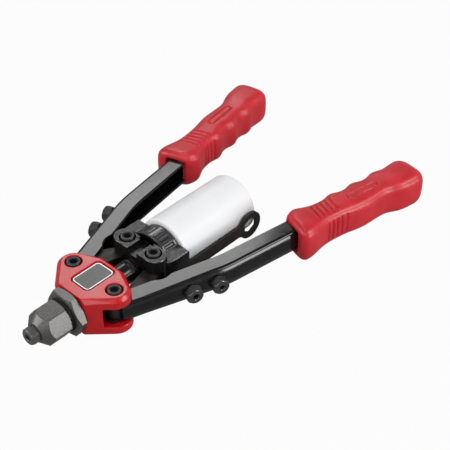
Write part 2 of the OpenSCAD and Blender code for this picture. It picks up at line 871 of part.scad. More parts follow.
// Distance from the arm's pivot line to the grip's outer and inner sides, and its half height
function grip_out(g) = arm_out + grip_wall_out
  + grip_shoulder * bump((g - shoulder_out_at) / 15)
  + grip_palm * bump((g - palm_at) / 17)
  + grip_flare * rise((g - flare_at) / 4);
function grip_in(g) = arm_in + grip_wall_in
  + 0.95 * grip_shoulder * bump((g - shoulder_in_at) / 11)
  + finger_h * (bump((g - first_crest_at) / 6)
    + bump((g - first_crest_at - finger_pitch) / 6)
    + bump((g - first_crest_at - 2 * finger_pitch) / 6))
  + 0.36 * grip_flare * rise((g - flare_in_at) / 3);
function grip_half_h(g) = arm_rear_half_h + grip_wall_top
  + 0.28 * grip_shoulder * bump((g - shoulder_out_at) / 14)
  + 0.24 * grip_flare * rise((g - flare_at) / 4);

// How far the section draws in near the grip's ends
function grip_inset(g) =
  g < grip_front_round
    ? grip_front_round - sqrt(pow(grip_front_round, 2) - pow(grip_front_round - g, 2))
    : g > grip_len - grip_end_round
      ? grip_end_round - sqrt(max(0, pow(grip_end_round, 2) - pow(g - grip_len + grip_end_round, 2)))
      : 0;

// How far the slanted front moves a point back
function grip_lean(g, y) =
  grip_slant * max(0, 1 - g / slant_len) * (grip_out(g) - y) / (grip_out(g) + grip_in(g));

function power(c, n) = sign(c) * pow(abs(c), 2 / n);

function grip_ring(g, sides) =
  let (
    inset = grip_inset(g),
    half_w = (grip_out(g) + grip_in(g)) / 2 - inset,
    mid = (grip_out(g) - grip_in(g)) / 2,
    half_h = grip_half_h(g) - inset
  )
  [
    for (k = [0 : sides - 1])
      let (a = 360 * (k + 0.5) / sides, y = mid + half_w * power(cos(a), grip_square))
        [g + grip_lean(g, y), y, half_h * power(sin(a), grip_square)]
  ];

module grip_form() {
  sides = 28;
  step = 3.5;
  stations = concat(
    [for (a = [0 : 22.5 : 67.5]) grip_front_round * (1 - cos(a))],
    [for (g = [grip_front_round : step : grip_len - grip_end_round - step / 2]) g],
    [for (a = [0 : 15 : 90]) grip_len - grip_end_round + grip_end_round * sin(a)]
  );
  points = [for (g = stations) each grip_ring(g, sides)];
  polyhedron(points, tube_faces(len(stations) - 1, sides));
}

module right_grip() {
  gap = seat_gap;
  color(grip_red) at_rear() difference() {
    translate([grip_at, 0, 0]) grip_form();
    translate([grip_at - cut, -arm_in - gap, -arm_rear_half_h - gap])
      cube([grip_len - grip_end + cut + gap, arm_in + arm_out + 2 * gap, 2 * (arm_rear_half_h + gap)]);
  }
}

module left_grip() {
  on_left() right_grip();
}

head_casting();
label_plate();
nose_housing();
lock_nut();
fitted_nosepiece();
right_pivot_screw();
left_pivot_screw();
right_pivot_nut();
left_pivot_nut();
pull_block();
pull_tube();
jaw_case();
jaw_set();
jaw_pusher();
jaw_spring();
right_link_screw();
left_link_screw();
right_link_nut();
left_link_nut();
right_link();
left_link();
bottle_collar();
collection_bottle();
nosepiece_spanner();
right_arm();
left_arm();
right_pivot_bush();
left_pivot_bush();
right_link_pin();
left_link_pin();
right_grip();
left_grip();
right_front_spare_nosepiece();
right_rear_spare_nosepiece();
left_front_spare_nosepiece();
left_rear_spare_nosepiece();
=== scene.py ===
import json
import math
import bmesh
import bpy
import numpy as np
from mathutils import Matrix, Vector
from mathutils.geometry import convex_hull_2d, delaunay_2d_cdt

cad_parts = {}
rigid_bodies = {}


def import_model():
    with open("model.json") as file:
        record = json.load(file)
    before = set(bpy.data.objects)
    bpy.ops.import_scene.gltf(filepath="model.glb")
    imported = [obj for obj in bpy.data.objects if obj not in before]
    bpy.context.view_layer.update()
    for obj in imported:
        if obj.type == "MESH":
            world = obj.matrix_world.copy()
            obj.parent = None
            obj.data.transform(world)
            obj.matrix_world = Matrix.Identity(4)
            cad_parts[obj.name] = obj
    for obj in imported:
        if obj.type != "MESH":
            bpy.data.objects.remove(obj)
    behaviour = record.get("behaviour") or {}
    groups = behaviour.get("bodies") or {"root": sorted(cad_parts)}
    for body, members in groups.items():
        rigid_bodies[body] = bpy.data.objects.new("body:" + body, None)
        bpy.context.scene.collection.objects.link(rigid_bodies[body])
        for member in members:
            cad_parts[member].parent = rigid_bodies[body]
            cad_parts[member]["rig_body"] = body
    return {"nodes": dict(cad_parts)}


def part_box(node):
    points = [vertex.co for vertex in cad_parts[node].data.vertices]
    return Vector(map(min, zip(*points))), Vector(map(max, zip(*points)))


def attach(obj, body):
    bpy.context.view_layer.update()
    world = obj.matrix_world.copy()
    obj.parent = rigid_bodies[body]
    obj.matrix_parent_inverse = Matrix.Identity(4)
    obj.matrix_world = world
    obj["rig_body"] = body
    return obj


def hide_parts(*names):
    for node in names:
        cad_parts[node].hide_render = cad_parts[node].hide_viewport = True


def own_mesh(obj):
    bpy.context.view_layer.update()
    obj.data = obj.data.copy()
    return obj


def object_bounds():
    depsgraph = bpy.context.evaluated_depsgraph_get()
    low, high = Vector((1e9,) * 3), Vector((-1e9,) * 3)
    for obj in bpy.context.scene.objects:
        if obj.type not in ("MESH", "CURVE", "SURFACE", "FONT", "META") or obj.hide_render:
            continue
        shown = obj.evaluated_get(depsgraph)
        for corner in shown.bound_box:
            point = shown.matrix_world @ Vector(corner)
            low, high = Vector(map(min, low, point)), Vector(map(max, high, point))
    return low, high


# Two-handed hand riveter. Lengths in the settings are millimetres in the CAD frame.
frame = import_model()
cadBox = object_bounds()
nodes = frame["nodes"]
scene = bpy.context.scene
mm = 0.001
sideSign = {"right": 1, "left": -1}
print("frame loaded", len(nodes), "nodes")

# Camera at the photograph's viewing angle

cameraSet = dict(place=(-0.28403, -0.44572, 0.52087), tilt=50.43, turn=-46.931, lens=87.128, sensor=36)


def makeCamera(s):
    data = bpy.data.cameras.new("camera")
    data.lens = s["lens"]
    data.sensor_width = s["sensor"]
    camera = bpy.data.objects.new("camera", data)
    camera.location = s["place"]
    camera.rotation_euler = (math.radians(s["tilt"]), 0, math.radians(s["turn"]))
    scene.collection.objects.link(camera)
    scene.camera = camera


makeCamera(cameraSet)
print("camera placed")

# Shader wires: sums and products of wires add Math nodes


class Wire:
    def __init__(self, tree, socket=None):
        self.tree = tree
        self.socket = socket

    def node(self, kind, settings=None, inputs=None, output=0):
        made = self.tree.nodes.new(kind)
        for key, value in (settings or {}).items():
            setattr(made, key, value)
        for key, value in (inputs or {}).items():
            if isinstance(value, Wire):
                self.tree.links.new(value.socket, made.inputs[key])
            else:
                made.inputs[key].default_value = value
        return Wire(self.tree, made.outputs[output] if len(made.outputs) else None)

    def maths(self, operation, first, second=0.0):
        return self.node("ShaderNodeMath", {"operation": operation}, {0: first, 1: second})

    def __add__(self, other):
        return self.maths("ADD", self, other)

    def __sub__(self, other):
        return self.maths("SUBTRACT", self, other)

    def __mul__(self, other):
        return self.maths("MULTIPLY", self, other)

    def __rsub__(self, other):
        return self.maths("SUBTRACT", other, self)

    __radd__ = __add__
    __rmul__ = __mul__

    def size(self):
        return self.maths("ABSOLUTE", self)

    def atLeast(self, other):
        return self.maths("MAXIMUM", self, other)

    def atMost(self, other):
        return self.maths("MINIMUM", self, other)

    def root(self):
        return self.maths("SQRT", self)

    def step(self, low, high):
        return self.node("ShaderNodeMapRange", {"interpolation_type": "SMOOTHSTEP"},
                         {"Value": self, "From Min": low, "From Max": high})

    def blend(self, first, second):
        return self.node("ShaderNodeMix", {"data_type": "RGBA"}, {0: self, 6: first, 7: second}, 2)

    def place(self, stretch=(1, 1, 1)):
        point = self.node("ShaderNodeTexCoord", output="Object")
        return self.node("ShaderNodeVectorMath", {"operation": "MULTIPLY"}, {0: point, 1: stretch})

    # grain is the size of one blotch in millimetres
    def noise(self, grain, detail, stretch=(1, 1, 1), rough=0.55):
        return self.node("ShaderNodeTexNoise", None,
                         {"Vector": self.place(stretch), "Scale": 1000 / grain, "Detail": detail,
                          "Roughness": rough})

    def worley(self, grain):
        return self.node("ShaderNodeTexVoronoi", {"feature": "F1"},
                         {"Vector": self.place(), "Scale": 1000 / grain})

    def bump(self, height, depth, under=None):
        inputs = {"Height": height, "Distance": depth * mm, "Strength": 1.0}
        if under:
            inputs["Normal"] = under
        return self.node("ShaderNodeBump", None, inputs)


def rgb(colour):
    return (*colour, 1)


def startMaterial(name):
    material = bpy.data.materials.new(name)
    material.use_nodes = True
    material.node_tree.nodes.clear()
    return material, Wire(material.node_tree)


def closeMaterial(material, wire, inputs):
    shader = wire.node("ShaderNodeBsdfPrincipled", None, inputs)
    wire.node("ShaderNodeOutputMaterial", None, {"Surface": shader})
    return material


# One finish: two tones in blotches, specks, a lighter tone on marked faces that is partly a painted highlight
# and partly wear, a spread of roughness, and grain in the normal
def makeFinish(name, s):
    material, wire = startMaterial(name)
    blotch = wire.noise(s["blotch"], s["blotchDetail"]).step(*s["blotchBand"])
    fine = wire.noise(s["grain"], s["grainDetail"])
    tone = blotch.blend(rgb(s["dark"]), rgb(s["light"]))
    if "speck" in s:
        specks = wire.noise(s["speckSize"], s["speckDetail"]).step(*s["speckBand"])
        tone = (specks * s["speckShare"]).blend(tone, rgb(s["speck"]))
    gloss = s["rough"] + s["roughSpread"] * (blotch - 0.5) + 0.5 * s["roughSpread"] * (fine - 0.5)
    metal = s["metal"]
    if "highlightAndWearTone" in s:  # marked edges and rib tops take a lighter, glossier tone: partly worn smooth, partly a painted highlight
        paintedHighlightAndWear = wire.node("ShaderNodeAttribute", {"attribute_name": "paintedHighlightAndWear"}, output="Fac")
        tone = paintedHighlightAndWear.blend(tone, rgb(s["highlightAndWearTone"]))
        gloss = gloss + paintedHighlightAndWear * (s["highlightAndWearRough"] - s["rough"])
        metal = paintedHighlightAndWear * s["highlightAndWearMetal"]
    normal = wire.bump(fine, s["grainDepth"])
    if "pitDepth" in s:
        normal = wire.bump(wire.worley(s["pitSize"]).step(*s["pitBand"]), s["pitDepth"], normal)
    inputs = {"Base Color": tone, "Roughness": gloss, "Normal": normal, "Metallic": metal, "IOR": s["ior"]}
    if "soft" in s:
        inputs["Subsurface Weight"] = s["soft"]
        inputs["Subsurface Radius"] = s["softRadius"]
        inputs["Subsurface Scale"] = s["softDepth"] * mm
    return closeMaterial(material, wire, inputs)


# What every finish has unless it says otherwise
commonFinish = dict(
    metal=0.0, ior=1.5, grain=0.3, grainDepth=0.006, roughSpread=0.1, blotchDetail=4.0,
    blotchBand=(0.3, 0.7), grainDetail=2.0, speckDetail=1.0, speckBand=(0.62, 0.72), pitBand=(0.0, 0.5),
    softRadius=(1.0, 0.9, 0.8), softDepth=8)
finishes = dict(
    headPaint=dict(
        dark=(0.47, 0.006, 0.010), light=(0.53, 0.008, 0.013), blotch=9, grain=0.9, grainDepth=0.008,
        rough=0.24, roughSpread=0.06, ior=1.49),
    noseSteel=dict(
        dark=(0.090, 0.087, 0.084), light=(0.125, 0.121, 0.118), blotch=0.9, grainDepth=0.010, rough=0.3,
        metal=0.5, speck=(0.19, 0.19, 0.19), speckSize=0.35, speckShare=0.35),
    # The thread finish is near black: painted shade in the gap between the housing and the lock nut.
    threadPaintedShade=dict(dark=(0.008, 0.008, 0.008), light=(0.02, 0.02, 0.02), blotch=1.2, rough=0.5, ior=1.3),
    blackSteel=dict(dark=(0.008, 0.008, 0.009), light=(0.018, 0.018, 0.019), blotch=1.5, rough=0.34),
    spareSteel=dict(
        dark=(0.085, 0.083, 0.082), light=(0.125, 0.122, 0.120), blotch=1.0, rough=0.26, metal=0.85),
    brownSteel=dict(
        dark=(0.014, 0.011, 0.009), light=(0.026, 0.020, 0.016), blotch=5, grain=0.4, grainDepth=0.008,
        rough=0.42, roughSpread=0.12, ior=1.4),
    tubeSteel=dict(
        dark=(0.006, 0.006, 0.007), light=(0.012, 0.012, 0.013), blotch=3, grainDepth=0.004, rough=0.18,
        roughSpread=0.06, ior=1.4),
    plainSteel=dict(dark=(0.30, 0.30, 0.31), light=(0.42, 0.42, 0.43), blotch=2, rough=0.35, metal=0.95),
    # The block's lighter, glossier metal tone on its eased edges is partly worn bare metal and partly a
    # painted highlight along the edges.
    blockCast=dict(
        dark=(0.004, 0.004, 0.0043), light=(0.009, 0.009, 0.0095), blotch=3, grain=0.5, grainDepth=0.012,
        rough=0.3, pitSize=1.1, pitDepth=0.007, ior=1.37, highlightAndWearTone=(0.12, 0.12, 0.12), highlightAndWearRough=0.16,
        highlightAndWearMetal=0.9),
    armPaint=dict(
        dark=(0.003, 0.003, 0.0035), light=(0.006, 0.006, 0.0065), blotch=7, grain=0.4, grainDepth=0.002,
        rough=0.14, roughSpread=0.05, ior=1.47),
    gripRubber=dict(
        dark=(0.51, 0.016, 0.024), light=(0.58, 0.023, 0.033), blotch=12, grain=0.5, rough=0.35,
        roughSpread=0.06, ior=1.46),
    # The collar's lighter, glossier tone on its rib tops is a painted highlight along the ribs.
    collarPlastic=dict(
        dark=(0.004, 0.004, 0.004), light=(0.007, 0.007, 0.007), blotch=4, grain=0.4, grainDepth=0.005,
        rough=0.26, roughSpread=0.08, highlightAndWearTone=(0.035, 0.034, 0.033), highlightAndWearRough=0.14, highlightAndWearMetal=0.0),
    bottlePlastic=dict(
        dark=(0.90, 0.90, 0.905), light=(0.92, 0.92, 0.925), blotch=20, grain=0.8, grainDepth=0.004,
        rough=0.36, roughSpread=0.06, soft=0.35, ior=1.4),
)
looks = {name: makeFinish(name, {**commonFinish, **s}) for name, s in finishes.items()}
print("finishes made", len(looks))

# Mesh helpers

weldGap = 1e-5
# Origin, axis and right of a piece turned about the tool's middle line
toolAxis = ((0, 0, 0), (1, 0, 0), (0, 1, 0))


def linkObject(name, mesh):
    piece = bpy.data.objects.new(name, mesh)
    scene.collection.objects.link(piece)
    return piece


def tidyMesh(mesh, merge=1e-6, least=1e-7):
    work = bmesh.new()
    work.from_mesh(mesh)
    bmesh.ops.remove_doubles(work, verts=work.verts, dist=merge)
    bmesh.ops.dissolve_degenerate(work, edges=work.edges, dist=least)
    bmesh.ops.recalc_face_normals(work, faces=work.faces)
    work.to_mesh(mesh)
    work.free()


def meshFrom(name, points, faces):
    mesh = bpy.data.meshes.new(name)
    mesh.from_pydata((np.asarray(points, float) * mm).tolist(), [], faces)
    tidyMesh(mesh)
    return mesh


# A finished piece rides on its body and stands for its CAD node
def dress(piece, node, look, sharp=35):
    piece.data.shade_smooth()
    piece.data.set_sharp_from_angle(angle=math.radians(sharp))
    piece.data.materials.clear()
    piece.data.materials.append(looks[look])
    body = nodes[node]["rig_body"]
    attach(piece, body)
    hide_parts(node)
    return piece


def addPiece(name, points, faces, node, look, sharp=35):
    return dress(linkObject(name, meshFrom(name, points, faces)), node, look, sharp)


def modify(piece, kind, **settings):
    modifier = piece.modifiers.new(kind.lower(), kind)
    for key, value in settings.items():
        setattr(modifier, key, value)


# A CAD node that keeps its shape: welded, with eased edges where asked, and a finish
def dressNode(node, look, ease=0.0, easeFrom=40):
    piece = nodes[node]
    piece.data.materials.clear()
    piece.data.materials.append(looks[look])
    modify(piece, "WELD", merge_threshold=weldGap)
    if ease:
        modify(piece, "BEVEL", width=ease * mm, segments=3, limit_method="ANGLE",
               angle_limit=math.radians(easeFrom))


# The mesh of an object with its modifiers worked out
def applyModifiers(piece):
    shaped = piece.evaluated_get(bpy.context.evaluated_depsgraph_get())
    mesh = bpy.data.meshes.new_from_object(shaped)
    piece.modifiers.clear()
    piece.data = mesh


# Faces between rings of points, from the last back to the first where closed
def ringFaces(rows, columns, closed=False, caps=False):
    faces = []
    for i in range(rows if closed else rows - 1):
        j = (i + 1) % rows
        for k in range(columns):
            n = (k + 1) % columns
            faces.append((i * columns + k, i * columns + n, j * columns + n, j * columns + k))
    if caps:
        faces += [range(columns), range((rows - 1) * columns, rows * columns)]
    return faces


def unit(vector):
    return vector / np.linalg.norm(vector)


# A path through corners (x, y, radius, ...) with each corner rounded by its radius
def roundPath(corners, closed=False, steps=5):
    path = []
    count = len(corners)
    for i, corner in enumerate(corners):
        here = np.array(corner[:2], float)
        rest = tuple(corner[3:])
        radius = corner[2]
        atEnd = not closed and i in (0, count - 1)
        if radius <= 0 or atEnd:
            path.append((*here, *rest))
            continue
        before = unit(np.array(corners[i - 1][:2]) - here)
        after = unit(np.array(corners[(i + 1) % count][:2]) - here)
        half = math.acos(np.clip(before @ after, -1, 1)) / 2
        reach = radius / math.tan(half)
        centre = here + unit(before + after) * radius / math.sin(half)
        first = here + before * reach - centre
        last = here + after * reach - centre
        for t in np.linspace(0, 1, steps + 1):
            path.append((*(centre + unit(first * (1 - t) + last * t) * radius), *rest))
    return path


# Extra points so that no step along a path is longer than the given length
def densePath(path, step):
    dense = [path[0]]
    for a, b in zip(path, path[1:]):
        span = math.hypot(b[0] - a[0], b[1] - a[1])
        if (a[2] > 0) != (b[2] > 0):
            span = 0
        for t in np.linspace(0, 1, max(1, math.ceil(span / step)) + 1)[1:]:
            dense.append(tuple(np.array(a) * (1 - t) + np.array(b) * t))
    return dense


# A turned outline from corners (along, radius, rounding, half across flats), the last two 0 where left out
def turnedPath(corners, step, steps=5):
    full = [(*corner, 0, 0)[:4] for corner in corners]
    return densePath(roundPath(full, steps=steps), step)


def hexCorner(flat):
    return flat * 2 / math.sqrt(3)


def unitRing(sides):
    turns = np.linspace(0, 2 * math.pi, sides, endpoint=False)
    return np.stack([np.cos(turns), np.sin(turns)], 1)


def arc(middle, radius, start, end, steps):
    turns = np.linspace(start, end, steps)
    return list(zip(middle[0] + radius * np.cos(turns), middle[1] + radius * np.sin(turns)))


def softMin(a, b, soft):
    mix = np.clip(0.5 + 0.5 * (b - a) / soft, 0, 1)
    return b * (1 - mix) + a * mix - soft * mix * (1 - mix)


# Points turned about an axis from (along, radius, half across flats), flats of 0 being round
def spin(path, sides, turn=0.0, soft=0.12, wave=None):
    angles = np.arange(sides) * 2 * math.pi / sides
    sector = (angles - math.radians(turn)) % (math.pi / 3) - math.pi / 6
    rings = []
    for along, radius, flat in path:
        around = np.full(sides, float(radius))
        if flat:
            around = softMin(around, flat / np.cos(sector), soft)
        if wave:
            around = around + wave(along, radius, angles)
        places = [np.full(sides, along), around * np.cos(angles), around * np.sin(angles)]
        rings.append(np.stack(places, 1))
    return np.concatenate(rings)


# A piece turned about an axis through the origin, with its angles counted from right
def turnedPiece(name, node, path, look, origin, axis, right, sides, turn=0.0, closed=True, sharp=35,
                wave=None, soft=0.12):
    points = origin + spin(path, sides, turn, soft, wave) @ [axis, right, np.cross(axis, right)]
    return addPiece(name, points, ringFaces(len(path), sides, closed), node, look, sharp)


# Head, pull block and label

headSet = dict(voxel=0.4, smooth=0.5, passes=8, sharp=50)


# A copy of the head with all its edges softened
def makeHead(s):
    piece = linkObject("head_cast", nodes["head_casting"].data.copy())
    modify(piece, "WELD", merge_threshold=weldGap)
    modify(piece, "REMESH", mode="VOXEL", voxel_size=s["voxel"] * mm)
    modify(piece, "SMOOTH", factor=s["smooth"], iterations=s["passes"])
    applyModifiers(piece)
    dress(piece, "head_casting", "headPaint", s["sharp"])


makeHead(headSet)

# flat, upright and the highlight-and-wear range tell faces apart by the upward part of their normals; the
# range picks the sloped bevel faces that get a lighter tone, partly painted highlight and partly wear
blockSet = dict(
    ease=0.6, segments=3, turn=40, rimFrom=11.65, flat=0.999, upright=0.5, highlightAndWear=(0.2, 0.98), straight=1)


# A copy of the block with the rims of its level faces eased, and the eased faces marked for a lighter tone
# that is partly a painted highlight along the edges and partly wear
def makeBlock(s):
    piece = linkObject("block_cast", nodes["pull_block"].data.copy())
    tidyMesh(piece.data, weldGap)
    work = bmesh.new()
    work.from_mesh(piece.data)
    straight = math.radians(s["straight"])
    bmesh.ops.dissolve_limit(work, angle_limit=straight, verts=work.verts, edges=work.edges)
    weight = work.edges.layers.float.new("bevel_weight_edge")
    for edge in work.edges:
        level = sorted(abs(face.normal.z) for face in edge.link_faces)
        rim = level[-1] > s["flat"] and level[0] < s["upright"]
        outer = abs(edge.verts[0].co.z) > s["rimFrom"] * mm
        turn = edge.calc_face_angle_signed(0)
        edge[weight] = float(rim and outer and turn > math.radians(s["turn"]))
    work.to_mesh(piece.data)
    work.free()
    modify(piece, "BEVEL", width=s["ease"] * mm, segments=s["segments"], limit_method="WEIGHT",
           use_clamp_overlap=False)
    applyModifiers(piece)
    # Sloped bevel faces on the outer rims get the lighter edge tone: partly a painted highlight, partly worn
    # bare metal.
    paintedHighlightAndWear = piece.data.attributes.new("paintedHighlightAndWear", "FLOAT", "FACE")
    least, most = s["highlightAndWear"]
    for face in piece.data.polygons:
        outer = abs(face.center.z) > s["rimFrom"] * mm
        paintedHighlightAndWear.data[face.index].value = float(outer and least < abs(face.normal.z) < most)
    modify(piece, "WEIGHTED_NORMAL", keep_sharp=True)
    dress(piece, "pull_block", "blockCast")


makeBlock(blockSet)
print("castings made")

labelSet = dict(
    middle=(59.7, 0.0), half=(12.7, 8.6), corner=3.2, line=0.65, width=0.36, blur=0.08,
    ink=(0.78, 0.78, 0.78), dark=(0.065, 0.064, 0.063), light=(0.09, 0.089, 0.087), brush=0.5,
    brushDetail=3.0, brushStretch=(0.05, 1, 1), brushBand=(0.3, 0.7), brushDepth=0.006, rough=0.34,
    roughSpread=0.12, metal=0.3, ease=0.2)


# Grey plate with a pale line a little way in from its edge
def labelFinish(s):
    material, wire = startMaterial("labelPlate")
    split = wire.node("ShaderNodeSeparateXYZ", None, {0: wire.place()})
    across = Wire(wire.tree, split.socket.node.outputs[1])
    cornerX, cornerY = (half - s["corner"] for half in s["half"])
    awayX = (split - s["middle"][0] * mm).size() * 1000 - cornerX
    awayY = (across - s["middle"][1] * mm).size() * 1000 - cornerY
    outX = awayX.atLeast(0.0)
    outY = awayY.atLeast(0.0)
    edge = s["corner"] - (outX * outX + outY * outY).root() - awayX.atLeast(awayY).atMost(0.0)
    inside = (edge - s["line"]).size()
    line = 1 - inside.step(s["width"] - s["blur"], s["width"] + s["blur"])
    brushed = wire.noise(s["brush"], s["brushDetail"], s["brushStretch"])
    plate = brushed.step(*s["brushBand"]).blend(rgb(s["dark"]), rgb(s["light"]))
    return closeMaterial(material, wire, {
        "Base Color": line.blend(plate, rgb(s["ink"])), "Metallic": s["metal"],
        "Roughness": s["rough"] + s["roughSpread"] * (brushed - 0.5),
        "Normal": wire.bump(brushed, s["brushDepth"])})


looks["labelPlate"] = labelFinish(labelSet)
dressNode("label_plate", "labelPlate", labelSet["ease"])

# Arms: one sheet with its outline and holes, folded along two lines and bent in plan

armSet = dict(
    pivot=(60.2, 21.16), angle=18.8, bend=9.5, bendStart=74.906, bendRadius=95, end=256.06, inner=5.0,
    out=10.6, wall=2.4, frontHalf=7.7, rearHalf=9.6, riseFrom=19.0, crown=0.54, crisp=2.7, eye=8.58,
    bushHole=6.13, scallopAt=38.0, scallopDepth=2.2, scallopRadius=11.0, spareAt=53.5, sparePitch=20.5,
    spareHole=3.95, webFront=1.0, ease=0.3, easeFrom=60, sharp=40,
    # how finely the sheet is divided: points along its edges, and rows and columns over it
    grid=dict(
        front=4, eye=36, inner=12, scallop=15, long=90, back=16, web=14, hole=40, rowPitch=2.0, webColumns=8,
        webShift=0.6, foldColumns=5, pastFold=0.4, clear=0.9, merge=1e-5))


def armHalf(s, along):
    share = np.clip((along - s["riseFrom"]) / (s["bendStart"] - s["riseFrom"]), 0, 1)
    return s["frontHalf"] + (s["rearHalf"] - s["frontHalf"]) * share


# Radius of the web's crown, which meets the crisp turn at the crown's angle
def crownRadius(s, along):
    return (armHalf(s, along) - s["crisp"] * (1 - math.sin(s["crown"]))) / math.sin(s["crown"])


# Where the flat flange begins across the arm
def foldEdge(s, along):
    return s["out"] - crownRadius(s, along) * (1 - math.cos(s["crown"])) - s["crisp"] * math.cos(s["crown"])


def armPoint(s, along, v, z, sign):
    bend = math.radians(s["bend"])
    turn = np.clip((along - s["bendStart"]) / s["bendRadius"], 0, bend)
    past = along - s["bendStart"] - turn * s["bendRadius"]
    x = s["bendStart"] + (s["bendRadius"] + v) * np.sin(turn) + past * np.cos(turn)
    y = (s["bendRadius"] + v) * np.cos(turn) - s["bendRadius"] - past * np.sin(turn)
    angle = math.radians(s["angle"])
    east = s["pivot"][0] + x * math.cos(angle) - y * math.sin(angle)
    north = s["pivot"][1] + x * math.sin(angle) + y * math.cos(angle)
    return np.stack([east, sign * north, z], 1)


# Places (along, q) on the flat sheet, q running round the fold, put on the folded and bent arm
def foldSheet(s, spots, inset, sign):
    along, q = spots[:, 0], spots[:, 1]
    webHalf = s["rearHalf"]
    away = np.abs(q)
    rest = math.pi / 2 - s["crown"]
    soft = np.minimum(away / webHalf, 1) * s["crown"]
    turn = soft + np.clip((away - webHalf) / (s["crisp"] * rest), 0, 1) * rest
    past = np.maximum(away - webHalf - s["crisp"] * rest, 0)
    radius = crownRadius(s, along)
    v = s["out"] - radius * (1 - np.cos(soft)) - s["crisp"] * (np.cos(soft) - np.cos(turn)) - past
    z = radius * np.sin(soft) + s["crisp"] * (np.sin(turn) - np.sin(soft))
    return armPoint(s, along, v - inset * np.cos(turn), (z - inset * np.sin(turn)) * np.sign(q), sign)


# Half outline of a flange from the web's front corner to the sheet's end, as (along, v)
def flangeLoop(s):
    grid = s["grid"]
    eye = s["eye"]
    fold = foldEdge(s, s["webFront"])
    start = math.pi - math.asin(fold / eye)
    end = 2 * math.pi - math.asin(s["inner"] / eye)
    loop = [(a, fold) for a in np.linspace(s["webFront"], eye * math.cos(start), grid["front"])[:-1]]
    loop += arc((0, 0), eye, start, end, grid["eye"])
    radius = s["scallopRadius"]
    low = s["scallopDepth"] - s["inner"] - radius
    reach = math.acos((-s["inner"] - low) / radius)
    first = s["scallopAt"] - radius * math.sin(reach)
    last = s["scallopAt"] + radius * math.sin(reach)
    loop += [(a, -s["inner"]) for a in np.linspace(loop[-1][0], first, grid["inner"])[1:-1]]
    up = math.pi / 2
    loop += arc((s["scallopAt"], low), radius, up + reach, up - reach, grid["scallop"])
    loop += [(a, -s["inner"]) for a in np.linspace(last, s["end"], grid["long"])[1:]]
    return loop


# Outline of the flat sheet, followed by its holes
def sheetLoops(s, foldLine):
    grid = s["grid"]
    half = [(a, foldLine + foldEdge(s, a) - v) for a, v in flangeLoop(s)]
    back = [(s["end"], q) for q in np.linspace(half[-1][1], -half[-1][1], grid["back"])[1:-1]]
    front = [(s["webFront"], q) for q in np.linspace(-foldLine, foldLine, grid["web"])[1:-1]]
    loops = [half + back + [(a, -q) for a, q in reversed(half)] + front]
    ring = unitRing(grid["hole"])
    eyeAt = foldLine + foldEdge(s, 0)
    loops += [ring * s["bushHole"] + (0, q) for q in (eyeAt, -eyeAt)]
    for i in (0, 1):
        middle = s["spareAt"] + i * s["sparePitch"]
        across = s["spareHole"] * s["rearHalf"] / (s["crown"] * crownRadius(s, middle))
        loops.append(ring * (s["spareHole"], across) + (middle, 0))
    return [np.array(loop) for loop in loops]


def insideLoop(loop, point):
    here = loop - point
    after = np.roll(here, -1, axis=0)
    crossing = (here[:, 1] > 0) != (after[:, 1] > 0)
    (x, y), (x2, y2) = here[crossing].T, after[crossing].T
    return np.count_nonzero(x - y / (y2 - y) * (x2 - x) > 0) % 2 == 1


# Whether a place lies in a hole's box or close to its edge
def nearHole(hole, place, clear):
    outside = np.abs(place - hole.mean(0)) > np.ptp(hole, axis=0) / 2
    return not outside.any() or np.min(np.hypot(*(hole - place).T)) <= clear


# The flat sheet as places and triangles, without the triangles in its holes
def cutSheet(s, loops, columns):
    grid = s["grid"]
    outline, *holes = loops
    points = []
    edges = []
    for loop in loops:
        first = len(points)
        points += [Vector(p) for p in loop]
        edges += [(first + i, first + (i + 1) % len(loop)) for i in range(len(loop))]
    for a in np.arange(s["webFront"] + grid["rowPitch"], s["end"] - grid["rowPitch"] / 2, grid["rowPitch"]):
        for q in columns:
            if not any(nearHole(hole, (a, q), grid["clear"]) for hole in holes):
                points.append(Vector((a, q)))
    flat, _, triangles, _, _, _ = delaunay_2d_cdt(points, edges, [], 1, grid["merge"])
    spots = np.array([tuple(p) for p in flat])
    keep = []
    for triangle in triangles:
        middle = spots[list(triangle)].mean(0)
        if insideLoop(outline, middle) and not any(insideLoop(hole, middle) for hole in holes):
            keep.append(tuple(triangle))
    return spots, keep


def makeArm(s, side):
    grid = s["grid"]
    crispLen = s["crisp"] * (math.pi / 2 - s["crown"])
    foldLine = s["rearHalf"] + crispLen
    columns = [k * s["rearHalf"] / grid["webColumns"] + grid["webShift"] for k in range(grid["webColumns"])]
    columns += [foldLine - k * crispLen / grid["foldColumns"] for k in range(grid["foldColumns"], -1, -1)]
    columns.append(foldLine + grid["pastFold"])
    columns += [-c for c in columns]
    spots, faces = cutSheet(s, sheetLoops(s, foldLine), columns)
    outer, inner = (foldSheet(s, spots, inset, sideSign[side]) for inset in (0.0, s["wall"]))
    count = len(spots)
    edges = [(face[i], face[i - 2]) for face in faces for i in range(3)]
    shared = set(edges)
    rim = [(b, a, a + count, b + count) for a, b in edges if (b, a) not in shared]
    under = [tuple(i + count for i in reversed(face)) for face in faces]
    name = f"arm_{side}_sheet"
    piece = linkObject(name, meshFrom(name, np.concatenate([outer, inner]), faces + under + rim))
    modify(piece, "BEVEL", width=s["ease"] * mm, segments=2, limit_method="ANGLE",
           angle_limit=math.radians(s["easeFrom"]))
    applyModifiers(piece)
    modify(piece, "WEIGHTED_NORMAL", keep_sharp=True)
    dress(piece, f"{side}_arm", "armPaint", s["sharp"])


for side in sideSign:
    makeArm(armSet, side)
print("arms made")

# Nose: fitted and spare nosepieces, housing, lock nut

